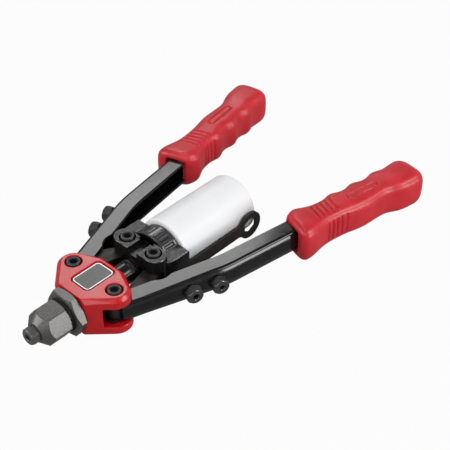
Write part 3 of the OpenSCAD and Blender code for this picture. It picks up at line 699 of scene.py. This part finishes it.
noseSet = dict(
    flat=5.75, hexLen=6.6, chamfer=0.9, frontCut=1.35, frontRound=0.3, backCut=0.6, backRound=0.1,
    over=0.4, thread=3.9, threadLen=8.0, threadDepth=0.45, tip=0.5, runOut=0.4, pitch=1.25, bore=2.5,
    boreEase=0.35, spareBore=(2.3, 1.9), turn=25, step=0.22, sides=120, spareSides=96)


def nosePath(s, bore):
    corner = hexCorner(s["flat"])
    full = corner + s["over"]
    end = s["hexLen"] + s["threadLen"]
    return turnedPath([
        (0, bore + s["boreEase"]),
        (0, corner - s["frontCut"] * s["chamfer"], s["frontRound"], s["flat"]),
        (2 * s["chamfer"], full, 0, s["flat"]),
        (s["hexLen"] - s["backCut"], full, 0, s["flat"]),
        (s["hexLen"], corner - s["chamfer"], s["backRound"], s["flat"]),
        (s["hexLen"], s["thread"]),
        (end - s["tip"], s["thread"]),
        (end, s["thread"] - s["tip"]),
        (end, bore),
        (s["boreEase"], bore)], s["step"])


# A thread cut into the rings of one radius between two places, fading out at both
def threadWave(start, end, radius, depth, pitch, near=0.02, fadeLen=0.4):
    def wave(along, ringRadius, angles):
        if not start < along < end or abs(ringRadius - radius) > near:
            return 0.0 * angles
        saw = (along / pitch + angles / (2 * math.pi)) % 1.0
        fade = min(1.0, (along - start) / fadeLen, (end - along) / fadeLen)
        return -depth * fade * np.abs(2 * saw - 1)
    return wave


def makeNosepieces(s, arm):
    end = s["hexLen"] + s["threadLen"]
    wave = threadWave(s["hexLen"], end - s["runOut"], s["thread"], s["threadDepth"], s["pitch"])
    turnedPiece("nosepiece_fitted", "fitted_nosepiece", nosePath(s, s["bore"]), "noseSteel", *toolAxis,
                s["sides"], s["turn"], wave=wave)
    angle = math.radians(arm["angle"])
    for side, sign in sideSign.items():
        along = np.array([math.cos(angle), sign * math.sin(angle), 0])
        out = np.array([-math.sin(angle), sign * math.cos(angle), 0])
        pivot = np.array([arm["pivot"][0], sign * arm["pivot"][1], 0])
        for i, row in enumerate(("front", "rear")):
            spot = pivot + along * (arm["spareAt"] + i * arm["sparePitch"])
            spot = spot + out * (arm["out"] + s["hexLen"])
            turnedPiece(f"nosepiece_{side}_{row}", f"{side}_{row}_spare_nosepiece",
                        nosePath(s, s["spareBore"][i]), "spareSteel", spot, -out, sign * along,
                        s["spareSides"], s["turn"], wave=wave)


makeNosepieces(noseSet, armSet)

housingSet = dict(
    start=noseSet["hexLen"], end=28.0, flat=12.5, front=7.8, frontRound=0.45, cone=6.4, over=0.8, backCut=1.3,
    backDrop=0.1, backRound=0.15, turn=5.5, thread=12.48, threadLen=6.0, threadDepth=0.6, pitch=1.5,
    tail=50.0, tip=0.5, bore=9.78, seat=3.95, seatEnd=14.0, step=0.25, sides=180, darkPast=0.02)


def makeHousing(s):
    corner = hexCorner(s["flat"])
    full = corner + s["over"]
    slope = s["cone"] / (corner - s["front"])
    path = turnedPath([
        (s["start"], s["seat"]),
        (s["start"], s["front"], s["frontRound"], s["flat"]),
        (s["start"] + s["cone"] + s["over"] * slope, full, 0, s["flat"]),
        (s["end"] - s["backCut"], full, 0, s["flat"]),
        (s["end"], s["flat"] - s["backDrop"], s["backRound"], s["flat"]),
        (s["end"], s["thread"]),
        (s["tail"] - s["tip"], s["thread"]),
        (s["tail"], s["thread"] - s["tip"]),
        (s["tail"], s["bore"]),
        (s["seatEnd"], s["bore"]),
        (s["seatEnd"], s["seat"])], s["step"])
    wave = threadWave(s["end"], s["end"] + s["threadLen"], s["thread"], s["threadDepth"], s["pitch"])
    piece = turnedPiece("nose_housing_turned", "nose_housing", path, "noseSteel", *toolAxis,
                        s["sides"], s["turn"], wave=wave)
    # The thread past the hex gets the near-black thread finish: painted shade in the gap between the housing
    # and the lock nut.
    piece.data.materials.append(looks["threadPaintedShade"])
    for face in piece.data.polygons:
        face.material_index = int(face.center.x > (s["end"] + s["darkPast"]) * mm)


makeHousing(housingSet)

nutSet = dict(
    start=31.0, end=38.0, flat=16.0, over=0.5, face=15.3, faceRound=0.15, chamfer=1.7, hole=12.53,
    holeEase=0.6, turn=58, step=0.3, sides=180)


def makeLockNut(s):
    full = hexCorner(s["flat"]) + s["over"]
    path = turnedPath([
        (s["start"] + s["holeEase"], s["hole"]),
        (s["start"], s["hole"] + s["holeEase"]),
        (s["start"], s["face"], s["faceRound"], s["flat"]),
        (s["start"] + s["chamfer"], full, 0, s["flat"]),
        (s["end"] - s["chamfer"], full, 0, s["flat"]),
        (s["end"], s["face"], s["faceRound"], s["flat"]),
        (s["end"], s["hole"])], s["step"])
    turnedPiece("lock_nut_turned", "lock_nut", path, "noseSteel", *toolAxis, s["sides"], s["turn"])


makeLockNut(nutSet)
print("nose made")

# Screws and nuts

screwSet = dict(
    head=5.2, headTall=5.5, under=0.15, edge=0.7, shank=4.0, tip=0.6, socket=2.6, depth=3.4, drill=0.5,
    mouth=3.7, mouthIn=0.25, mouthDrop=0.12, wallFrom=0.3, over=9.0, soft=0.05, step=0.5, sides=96)
screwNutSet = dict(flat=6.0, corner=7.2, hole=4.05, ease=0.7, face=5.9, faceRound=0.1, step=0.4)
screwSpots = dict(
    pivot=dict(spot=armSet["pivot"], seat=11.6, foot=-15.8, nutTop=-12.2, nutFoot=-16.8),
    link=dict(spot=(104.5, 13.4), seat=12.3, foot=-15.5, nutTop=-11.9, nutFoot=-16.5),
)


def makeScrews(s, nut, spots):
    for place, t in spots.items():
        top = t["seat"] + s["headTall"]
        screwPath = turnedPath([
            (t["foot"], 0),
            (t["foot"], s["shank"] - s["tip"]),
            (t["foot"] + s["tip"], s["shank"]),
            (t["seat"], s["shank"]),
            (t["seat"], s["head"], s["under"]),
            (top, s["head"], s["edge"]),
            (top, s["mouth"]),
            (top - s["mouthDrop"], s["mouth"] - s["mouthIn"]),
            (top - s["wallFrom"], s["over"], 0, s["socket"]),
            (top - s["depth"], s["over"], 0, s["socket"]),
            (top - s["depth"] - s["drill"], 0)], s["step"])
        nutPath = turnedPath([
            (t["nutTop"], nut["hole"]),
            (t["nutTop"], nut["corner"], 0, nut["flat"]),
            (t["nutFoot"] + nut["ease"], nut["corner"], 0, nut["flat"]),
            (t["nutFoot"], nut["face"], nut["faceRound"], nut["flat"]),
            (t["nutFoot"], nut["hole"])], nut["step"])
        for side, sign in sideSign.items():
            upright = ((t["spot"][0], sign * t["spot"][1], 0), (0, 0, 1), (1, 0, 0))
            turnedPiece(f"{place}_screw_{side}", f"{side}_{place}_screw", screwPath, "blackSteel", *upright,
                        s["sides"], closed=False, soft=s["soft"])
            turnedPiece(f"{place}_nut_{side}", f"{side}_{place}_nut", nutPath, "blackSteel", *upright,
                        s["sides"])


makeScrews(screwSet, screwNutSet, screwSpots)
print("screws made")

# Grips

gripSet = dict(
    at=59.8, len=127.5, bendAt=82.8, square=3.6, sides=168, step=0.5, fine=1440, frontRound=5.0,
    endRound=12.0, slant=5.0, slantLen=20.0, cavity=113.55, gap=0.5, cavityInner=1.2, cavityOuter=2.4,
    cavityFine=2000, sharp=50, holeShares=(0.02, 0.5, 1.0), mouthRows=((0.7, 1.0), (0.2, 1.03), (0.0, 1.07)),
    mouthFlare=1.07, frontSteps=10, endSteps=15, endShares=(0.66, 0.33, 0.02),
    # reach outwards, inwards and upwards, with bumps and a step of (middle, width, height) along the grip
    profile=dict(
        out=dict(base=16.1, bumps=((6.5, 15, 5), (65.5, 17, 2.6)), step=(94.5, 4, 5.8)),
        inner=dict(base=7.4, bumps=((13, 11, 4.75), (49, 6, 2.5), (71, 6, 2.5), (93, 6, 2.5)),
                   step=(106.5, 3, 2.088)),
        tall=dict(base=14.2, bumps=((6.5, 14, 1.4),), step=(94.5, 4, 1.392))),
    # moulded grooves and the outline of a bare panel
    grooves=dict(
        top=(24.0, 28.5, 33.0, 37.5, 42.2), inner=(30.0, 34.3, 38.6, 43.0), outerShift=4.0, width=1.05,
        depth=1.1, shape=0.8, faceFrom=0.8, faceBlend=0.12, band=(-5.0, 12.5), bandBlend=0.8, slant=0.2,
        slantAt=4.0, sideHalf=9.5, panel=(56.0, 85.0, 3.2, 8.6), panelRound=2.2, panelLine=0.75,
        panelDepth=0.9, panelFade=2.0))


def gripSize(s, g):
    sizes = []
    for shape in s["profile"].values():
        middle, width, height = shape["step"]
        size = shape["base"] + height / (1 + math.exp((middle - g) / width))
        for middle, width, height in shape["bumps"]:
            size += height * math.exp(-((g - middle) / width) ** 2)
        sizes.append(size)
    return sizes


def gripInset(s, g):
    front = s["frontRound"]
    end = s["endRound"]
    if g < front:
        return front - math.sqrt(front ** 2 - (front - g) ** 2)
    if g > s["len"] - end:
        return end - math.sqrt(max(0.0, end ** 2 - (g - s["len"] + end) ** 2))
    return 0.0


# A closed loop spread evenly along its length
def evenLoop(loop, count):
    closed = np.vstack([loop, loop[:1]])
    run = np.concatenate([[0], np.cumsum(np.hypot(*np.diff(closed, axis=0).T))])
    want = np.linspace(0, run[-1], count, endpoint=False)
    return np.stack([np.interp(want, run, closed[:, 0]), np.interp(want, run, closed[:, 1])], 1)


def gripLoop(s, g):
    out, inner, tall = gripSize(s, g)
    inset = gripInset(s, g)
    a = np.linspace(0, 2 * math.pi, s["fine"], endpoint=False)
    power = 2 / s["square"]
    v = (out - inner) / 2 + ((out + inner) / 2 - inset) * np.sign(np.cos(a)) * np.abs(np.cos(a)) ** power
    z = (tall - inset) * np.sign(np.sin(a)) * np.abs(np.sin(a)) ** power
    return evenLoop(np.stack([v, z], 1), s["sides"])


# How deep the grooves cut at each point of a ring
def grooveDepth(s, size, g, loop):
    out, inner, tall = size
    v, z = loop[:, 0], loop[:, 1]
    middle = (out - inner) / 2
    wide = (out + inner) / 2

    def cut(distance, width):
        return np.clip(1 - np.abs(distance) / width, 0, 1) ** s["shape"]

    def onFace(away, size):
        return np.clip((away - s["faceFrom"] * size) / (s["faceBlend"] * size), 0, 1)

    def within(room):
        return np.clip(room / s["bandBlend"], 0, 1)

    onTop = onFace(np.abs(z), tall)
    band = within(v - s["band"][0]) * within(s["band"][1] - v) * onTop
    strip = onFace(np.abs(v - middle), wide) * within(s["sideHalf"] - np.abs(z))
    slant = s["slant"] * (v - s["slantAt"])
    cuts = [band * cut(g - at + slant, s["width"]) for at in s["top"]]
    cuts += [strip * (v < middle) * cut(g - at, s["width"]) for at in s["inner"]]
    cuts += [strip * (v > middle) * cut(g - at - s["outerShift"], s["width"]) for at in s["top"]]
    first, last, low, high = s["panel"]
    radius = s["panelRound"]
    awayG = np.abs(g - (first + last) / 2) - (last - first) / 2 + radius
    awayV = np.abs(v - (low + high) / 2) - (high - low) / 2 + radius
    edge = np.hypot(np.maximum(awayG, 0), np.maximum(awayV, 0))
    edge = edge + np.minimum(np.maximum(awayG, awayV), 0) - radius
    line = cut(edge, s["panelLine"]) * onTop * np.clip((last + s["panelFade"] - g) / s["panelFade"], 0, 1)
    return np.maximum(s["depth"] * np.max(cuts, axis=0), s["panelDepth"] * line)


# The loop of the hole that takes the arm, starting where the outer loops start
def gripMouth(s, arm):
    low, high = -arm["inner"] - s["gap"], arm["out"] + s["gap"]
    half = arm["rearHalf"] + s["gap"]
    corners = [(low, -half, s["cavityInner"]), (high, -half, s["cavityOuter"]),
               (high, half, s["cavityOuter"]), (low, half, s["cavityInner"])]
    mouth = evenLoop(np.array(roundPath(corners, closed=True)), s["cavityFine"])
    onOuterSide = mouth[:, 0] > 0
    start = np.argmin(np.where(onOuterSide, np.abs(mouth[:, 1]), np.inf))
    return evenLoop(np.roll(mouth, -start, axis=0), s["sides"])


def scaleLoop(loop, share):
    middle = loop.mean(0)
    return middle + (loop - middle) * share


# Rings (place along the grip, loop) from the bottom of the hole, out of it and over the grip to its end
def gripRows(s, arm):
    mouth = gripMouth(s, arm)
    rows = [(s["cavity"], scaleLoop(mouth, share)) for share in s["holeShares"]]
    rows += [(g, scaleLoop(mouth, share)) for g, share in s["mouthRows"]]
    rows.append((0.0, 0.5 * (mouth * s["mouthFlare"] + gripLoop(s, 0.0))))
    for a in np.linspace(0, math.pi / 2, s["frontSteps"])[:-1]:
        g = s["frontRound"] * (1 - math.cos(a))
        rows.append((g, gripLoop(s, g)))
    for g in np.arange(s["frontRound"], s["len"] - s["endRound"], s["step"]):
        loop = gripLoop(s, g)
        slope = np.roll(loop, -1, axis=0) - np.roll(loop, 1, axis=0)
        normal = np.stack([slope[:, 1], -slope[:, 0]], 1)
        normal /= np.linalg.norm(normal, axis=1, keepdims=True)
        depth = grooveDepth(s["grooves"], gripSize(s, g), g, loop)
        rows.append((g, loop - normal * depth[:, None]))
    for a in np.linspace(0, math.pi / 2, s["endSteps"]):
        g = s["len"] - s["endRound"] + s["endRound"] * math.sin(a)
        rows.append((g, gripLoop(s, g)))
    last = rows[-1][1]
    return rows + [(s["len"], scaleLoop(last, share)) for share in s["endShares"]]


def makeGrip(s, arm, side):
    rows = gripRows(s, arm)
    angle = math.radians(arm["angle"])
    rear = math.radians(arm["angle"] - arm["bend"])
    corner = np.array(arm["pivot"]) + s["bendAt"] * np.array([math.cos(angle), math.sin(angle)])
    points = []
    for g, loop in rows:
        out, inner, _ = gripSize(s, g)
        lean = s["slant"] * max(0.0, 1 - g / s["slantLen"]) * (out - loop[:, 0]) / (out + inner)
        along = s["at"] + g + lean
        x = corner[0] + along * math.cos(rear) - loop[:, 0] * math.sin(rear)
        y = corner[1] + along * math.sin(rear) + loop[:, 0] * math.cos(rear)
        points.append(np.stack([x, sideSign[side] * y, loop[:, 1]], 1))
    faces = ringFaces(len(rows), s["sides"], caps=True)
    addPiece(f"grip_{side}_rubber", np.concatenate(points), faces, f"{side}_grip", "gripRubber", s["sharp"])


for side in sideSign:
    makeGrip(gripSet, armSet, side)
print("grips made")

# Bottle, collar and spanner

bottleSet = dict(
    neck=115.8, front=127.7, end=203.2, radius=22.9, wall=1.6, round=3.4, shoulder=1.2, neckRadius=14.2,
    neckBore=11.9, neckRound=0.4, foot=17.0, dish=15.5, dishDeep=0.6, dishRound=1.2, innerRound=2.6,
    innerFront=0.8, step=4.0, sides=128, sharp=50)


def makeBottle(s):
    inner = s["radius"] - s["wall"]
    floor = s["end"] - s["dishDeep"]
    path = turnedPath([
        (s["neck"], s["neckBore"]),
        (s["neck"], s["neckRadius"], s["neckRound"]),
        (s["front"], s["neckRadius"]),
        (s["front"], s["radius"], s["shoulder"]),
        (s["end"], s["radius"], s["round"]),
        (s["end"], s["foot"], s["dishRound"]),
        (floor, s["dish"], s["dishRound"]),
        (floor, 0),
        (floor - s["wall"], 0),
        (floor - s["wall"], inner, s["innerRound"]),
        (s["front"] + s["wall"], inner, s["innerFront"]),
        (s["front"] + s["wall"], s["neckBore"])], s["step"], steps=8)
    turnedPiece("bottle_shell", "collection_bottle", path, "bottlePlastic", *toolAxis, s["sides"],
                sharp=s["sharp"])


makeBottle(bottleSet)

collarSet = dict(
    start=113.4, end=127.1, radius=19.5, bore=14.5, frontRound=0.9, backRound=0.5, rim=2.2, fade=0.7,
    skin=0.6, ribs=20, depth=1.2, groove=0.3, flank=0.2, step=0.35, sidesPerRib=40, sharp=80, highlightAndWearTop=1.2,
    highlightAndWearFall=1.6)


def makeCollar(s):
    path = turnedPath([
        (s["start"], s["bore"]),
        (s["start"], s["radius"], s["frontRound"]),
        (s["end"], s["radius"], s["backRound"]),
        (s["end"], s["bore"])], s["step"])

    def wave(along, radius, angles):
        if radius < s["radius"] - s["skin"]:
            return 0.0 * angles
        room = min(along - s["start"], s["end"] - along) - s["rim"]
        inRibs = min(1.0, max(0.0, room / s["fade"]))
        across = (angles * s["ribs"] / (2 * math.pi)) % 1.0
        fall = np.clip((s["groove"] - np.abs(across - 0.5)) / s["flank"], 0, 1)
        return -s["depth"] * inRibs * fall * fall * (3 - 2 * fall)

    ring = turnedPiece("collar_ring", "bottle_collar", path, "collarPlastic", *toolAxis,
                       s["ribs"] * s["sidesPerRib"], sharp=s["sharp"], wave=wave)
    # Rib tops, fading down the flanks, get a lighter, glossier tone: a painted highlight along the ribs.
    paintedHighlightAndWear = ring.data.attributes.new("paintedHighlightAndWear", "FLOAT", "POINT")
    for vertex in ring.data.vertices:
        away = s["radius"] - math.hypot(vertex.co.y, vertex.co.z) / mm
        highlightAndWear = s["highlightAndWearTop"] - s["highlightAndWearFall"] * away / s["depth"]
        paintedHighlightAndWear.data[vertex.index].value = min(1.0, max(0.0, highlightAndWear))


makeCollar(collarSet)

spannerSet = dict(
    start=113.4, half=4.6, ring=192.8, ringRadius=10.9, hole=5.9, z=-3.9, outer=-26.2, thick=2.2, neck=6.0,
    ease=0.35, tipRound=1.0, barFrom=3.0, barSteps=12, neckFrom=0.1, neckSteps=8, ringSteps=36, holeStep=5,
    sharp=40)


# A flat plate between z = -thick/2 and thick/2 with its edges eased
def plateMesh(name, loops, thick, ease):
    curve = bpy.data.curves.new(name, "CURVE")
    curve.dimensions = "2D"
    curve.fill_mode = "BOTH"
    curve.extrude = (thick / 2 - ease) * mm
    curve.bevel_depth = ease * mm
    curve.bevel_resolution = 2
    curve.offset = -ease * mm
    for loop in loops:
        spline = curve.splines.new("POLY")
        spline.points.add(len(loop) - 1)
        for point, (x, y) in zip(spline.points, loop):
            point.co = (x * mm, y * mm, 0, 1)
        spline.use_cyclic_u = True
    blank = linkObject(name + "_curve", curve)
    shaped = blank.evaluated_get(bpy.context.evaluated_depsgraph_get())
    mesh = bpy.data.meshes.new_from_object(shaped)
    bpy.data.objects.remove(blank)
    tidyMesh(mesh, weldGap)
    return mesh


# A bar with a ring at its end, a fillet between them and a hexagon hole
def makeSpanner(s):
    away = math.sqrt((s["ringRadius"] + s["neck"]) ** 2 - (s["half"] + s["neck"]) ** 2)
    neckX = s["ring"] - away
    lean = math.asin((s["half"] + s["neck"]) / (s["ringRadius"] + s["neck"]))
    tip = [(s["start"], 0, 0), (s["start"], s["half"], s["tipRound"]), (neckX, s["half"], 0)]
    outline = roundPath(tip)[:-1]
    outline += [(x, s["half"]) for x in np.linspace(s["start"] + s["barFrom"], neckX, s["barSteps"])]
    down = -math.pi / 2
    outline += arc((neckX, s["half"] + s["neck"]), s["neck"], down + s["neckFrom"], -lean, s["neckSteps"])
    outline += arc((s["ring"], 0), s["ringRadius"], math.pi - lean, 0, s["ringSteps"])
    outline += [(x, -y) for x, y in reversed(outline[1:-1])]
    hole = []
    for a in np.radians(np.arange(0, 360, s["holeStep"])):
        sector = (a - math.pi / 6) % (math.pi / 3) - math.pi / 6
        radius = s["hole"] / math.cos(sector)
        hole.append((s["ring"] + radius * math.cos(a), radius * math.sin(a)))
    mesh = plateMesh("spanner_flat", (outline, hole), s["thick"], s["ease"])
    middle = (s["outer"] + s["thick"] / 2) * mm
    mesh.transform(Matrix(((1, 0, 0, 0), (0, 0, -1, middle), (0, 1, 0, s["z"] * mm), (0, 0, 0, 1))))
    dress(linkObject("spanner_flat", mesh), "nosepiece_spanner", "brownSteel", s["sharp"])


makeSpanner(spannerSet)
print("bottle, collar and spanner made")

# Links: a rear eye on a plate with a wide inner front corner

linkSet = dict(
    lug=screwSpots["link"]["spot"], pin=(77.606, 28.987), half=4.3, eye=7.0, front=5.4, cornerAt=23.0,
    cornerIn=11.0, corner=2.5, screwHole=4.08, pinHole=3.8, thick=10.0, ease=0.5, sides=480, ringSides=120,
    holeSides=48, sharp=40, tiny=1e-9)


# The outline is the hull of three rounds with the rear eye added, met by rays from the lug's screw
def makeLink(s, side):
    lug = np.array(s["lug"])
    run = np.array(s["pin"]) - lug
    ahead = unit(run)
    inward = np.array([-ahead[1], ahead[0]])
    corner = ahead * s["cornerAt"] + inward * (s["cornerIn"] - s["corner"])
    ring = unitRing(s["ringSides"])
    cloud = np.concatenate([s["half"] * ring, run + s["front"] * ring, corner + s["corner"] * ring])
    hull = cloud[convex_hull_2d([Vector(p) for p in cloud])]
    edge = np.roll(hull, -1, axis=0) - hull
    normal = np.stack([edge[:, 1], -edge[:, 0]], 1)
    normal *= np.sign(np.sum(normal * hull, 1))[:, None]
    depth = np.sum(normal * hull, 1)
    outline = []
    for ray in unitRing(s["sides"]):
        facing = normal @ ray
        reach = np.where(facing > s["tiny"], depth / np.maximum(facing, s["tiny"]), np.inf).min()
        outline.append(ray * max(s["eye"], reach))
    around = unitRing(s["holeSides"])
    loops = [evenLoop(np.array(outline), s["sides"]), s["screwHole"] * around, run + s["pinHole"] * around]
    placed = [(loop + lug) * (1, sideSign[side]) for loop in loops]
    name = f"link_{side}_plate"
    mesh = plateMesh(name, placed, s["thick"], s["ease"])
    dress(linkObject(name, mesh), f"{side}_link", "brownSteel", s["sharp"])


for side in sideSign:
    makeLink(linkSet, side)
print("links made")

# CAD nodes that stay

for side in sideSign:
    dressNode(f"{side}_pivot_bush", "blackSteel")
    dressNode(f"{side}_link_pin", "blackSteel")
dressNode("pull_tube", "tubeSteel")
for node in ("jaw_case", "jaw_set", "jaw_pusher"):
    dressNode(node, "plainSteel")
print("CAD nodes dressed")

springSet = dict(turns=4, wire=0.4, steps=40, sides=12, joint="jaw_push", travel=2.0)


# Jaw spring: a coil of wire filling the box of the CAD spring; in the tool its back end stays on the tube
# while the pusher closes it up
def makeSpring(s):
    low, high = (np.array(corner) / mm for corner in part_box("jaw_spring"))
    rows = s["turns"] * s["steps"] + 1
    turn = np.linspace(0, 2 * math.pi * s["turns"], rows)[:, None]
    around = np.linspace(0, 2 * math.pi, s["sides"], endpoint=False)[None, :]
    reach = high[1] - s["wire"] + s["wire"] * np.cos(around)
    middle = np.linspace(low[0] + s["wire"], high[0] - s["wire"], rows)[:, None]
    along = middle + s["wire"] * np.sin(around)
    points = np.stack([along, reach * np.cos(turn), reach * np.sin(turn)], axis=-1).reshape(-1, 3)
    faces = ringFaces(rows, s["sides"], caps=True)
    piece = addPiece("spring_coil", points, faces, "jaw_spring", "plainSteel")
    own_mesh(piece)


makeSpring(springSet)
print("spring made")

# Floor, lights and world

stageSet = dict(
    middle=(0.15, 0.0, 0.0), floorDrop=0.6, floorSize=6.0, white=1.0, floorLit=0.97, mirrorLit=0.08,
    floorTone=0.25, horizon=0.5, ceiling=0.25, bandLow=0.2, bandHigh=0.5)
lampSet = dict(
    back=dict(place=(0.94, 0.945, 1.12), size=(0.55, 0.44), power=3.8),
    right=dict(place=(0.79, -1.21, 1.0), size=(0.9, 0.5), power=11),
    low=dict(place=(0.61, -1.41, 0.17), aim=(0.1, 0.0, 0.0), size=(0.7, 0.34), power=7.5),
    left=dict(place=(-1.2, 0.75, 0.53), aim=(0.05, 0.0, 0.0), size=(1.15, 0.65), power=11),
    top=dict(place=(0.05, 0.1, 1.6), size=(0.8, 0.8), power=4),
    fill=dict(place=(-1.1, -0.6, 0.8), size=(0.9, 0.7), power=5.5),
)


# Camera rays see plain white; glossy and transmission rays see part of it over the lit floor
def seenShare(wire, s):
    path = wire.node("ShaderNodeLightPath", output="Is Camera Ray")
    glossy = Wire(wire.tree, path.socket.node.outputs["Is Glossy Ray"])
    through = Wire(wire.tree, path.socket.node.outputs["Is Transmission Ray"])
    return (path * s["floorLit"]).atLeast(glossy.atLeast(through) * s["mirrorLit"])


def makeStage(s):
    low = cadBox[0][2] - s["floorDrop"] * mm
    half = s["floorSize"] / 2
    corners = [(-half, -half, low), (half, -half, low), (half, half, low), (-half, half, low)]
    mesh = bpy.data.meshes.new("floor")
    mesh.from_pydata(corners, [], [(0, 1, 2, 3)])
    floor = linkObject("floor", mesh)
    material, wire = startMaterial("floorWhite")
    plain = wire.node("ShaderNodeBsdfDiffuse", None, {"Color": rgb((s["floorTone"],) * 3)})
    glow = wire.node("ShaderNodeEmission", None, {"Color": (1, 1, 1, 1), "Strength": s["white"]})
    mixed = wire.node("ShaderNodeMixShader", None, {0: seenShare(wire, s), 1: plain, 2: glow})
    wire.node("ShaderNodeOutputMaterial", None, {"Surface": mixed})
    mesh.materials.append(material)
    world = bpy.data.worlds.new("studio")
    scene.world = world
    world.use_nodes = True
    world.node_tree.nodes.clear()
    sky = Wire(world.node_tree)
    direction = sky.node("ShaderNodeTexCoord", output="Generated")
    height = sky.node("ShaderNodeSeparateXYZ", None, {0: direction}, 2)
    light = s["horizon"] - (s["horizon"] - s["ceiling"]) * height.step(s["bandLow"], s["bandHigh"])
    seen = sky.node("ShaderNodeLightPath", output="Is Camera Ray")
    shown = light + seen * (s["white"] - light)
    back = sky.node("ShaderNodeBackground", None, {"Color": (1, 1, 1, 1), "Strength": shown})
    sky.node("ShaderNodeOutputWorld", None, {"Surface": back})


# Lamps look at the middle of the tool unless they say otherwise
def makeLamps(lamps, middle):
    for name, s in lamps.items():
        data = bpy.data.lights.new(name, "AREA")
        data.shape = "RECTANGLE"
        data.size, data.size_y = s["size"]
        data.energy = s["power"]
        lamp = bpy.data.objects.new(name, data)
        lamp.location = s["place"]
        aim = Vector(s.get("aim", middle)) - Vector(s["place"])
        lamp.rotation_euler = aim.to_track_quat("-Z", "Y").to_euler()
        scene.collection.objects.link(lamp)


makeStage(stageSet)
makeLamps(lampSet, stageSet["middle"])
scene.view_settings.view_transform = "Standard"
print("stage lit")
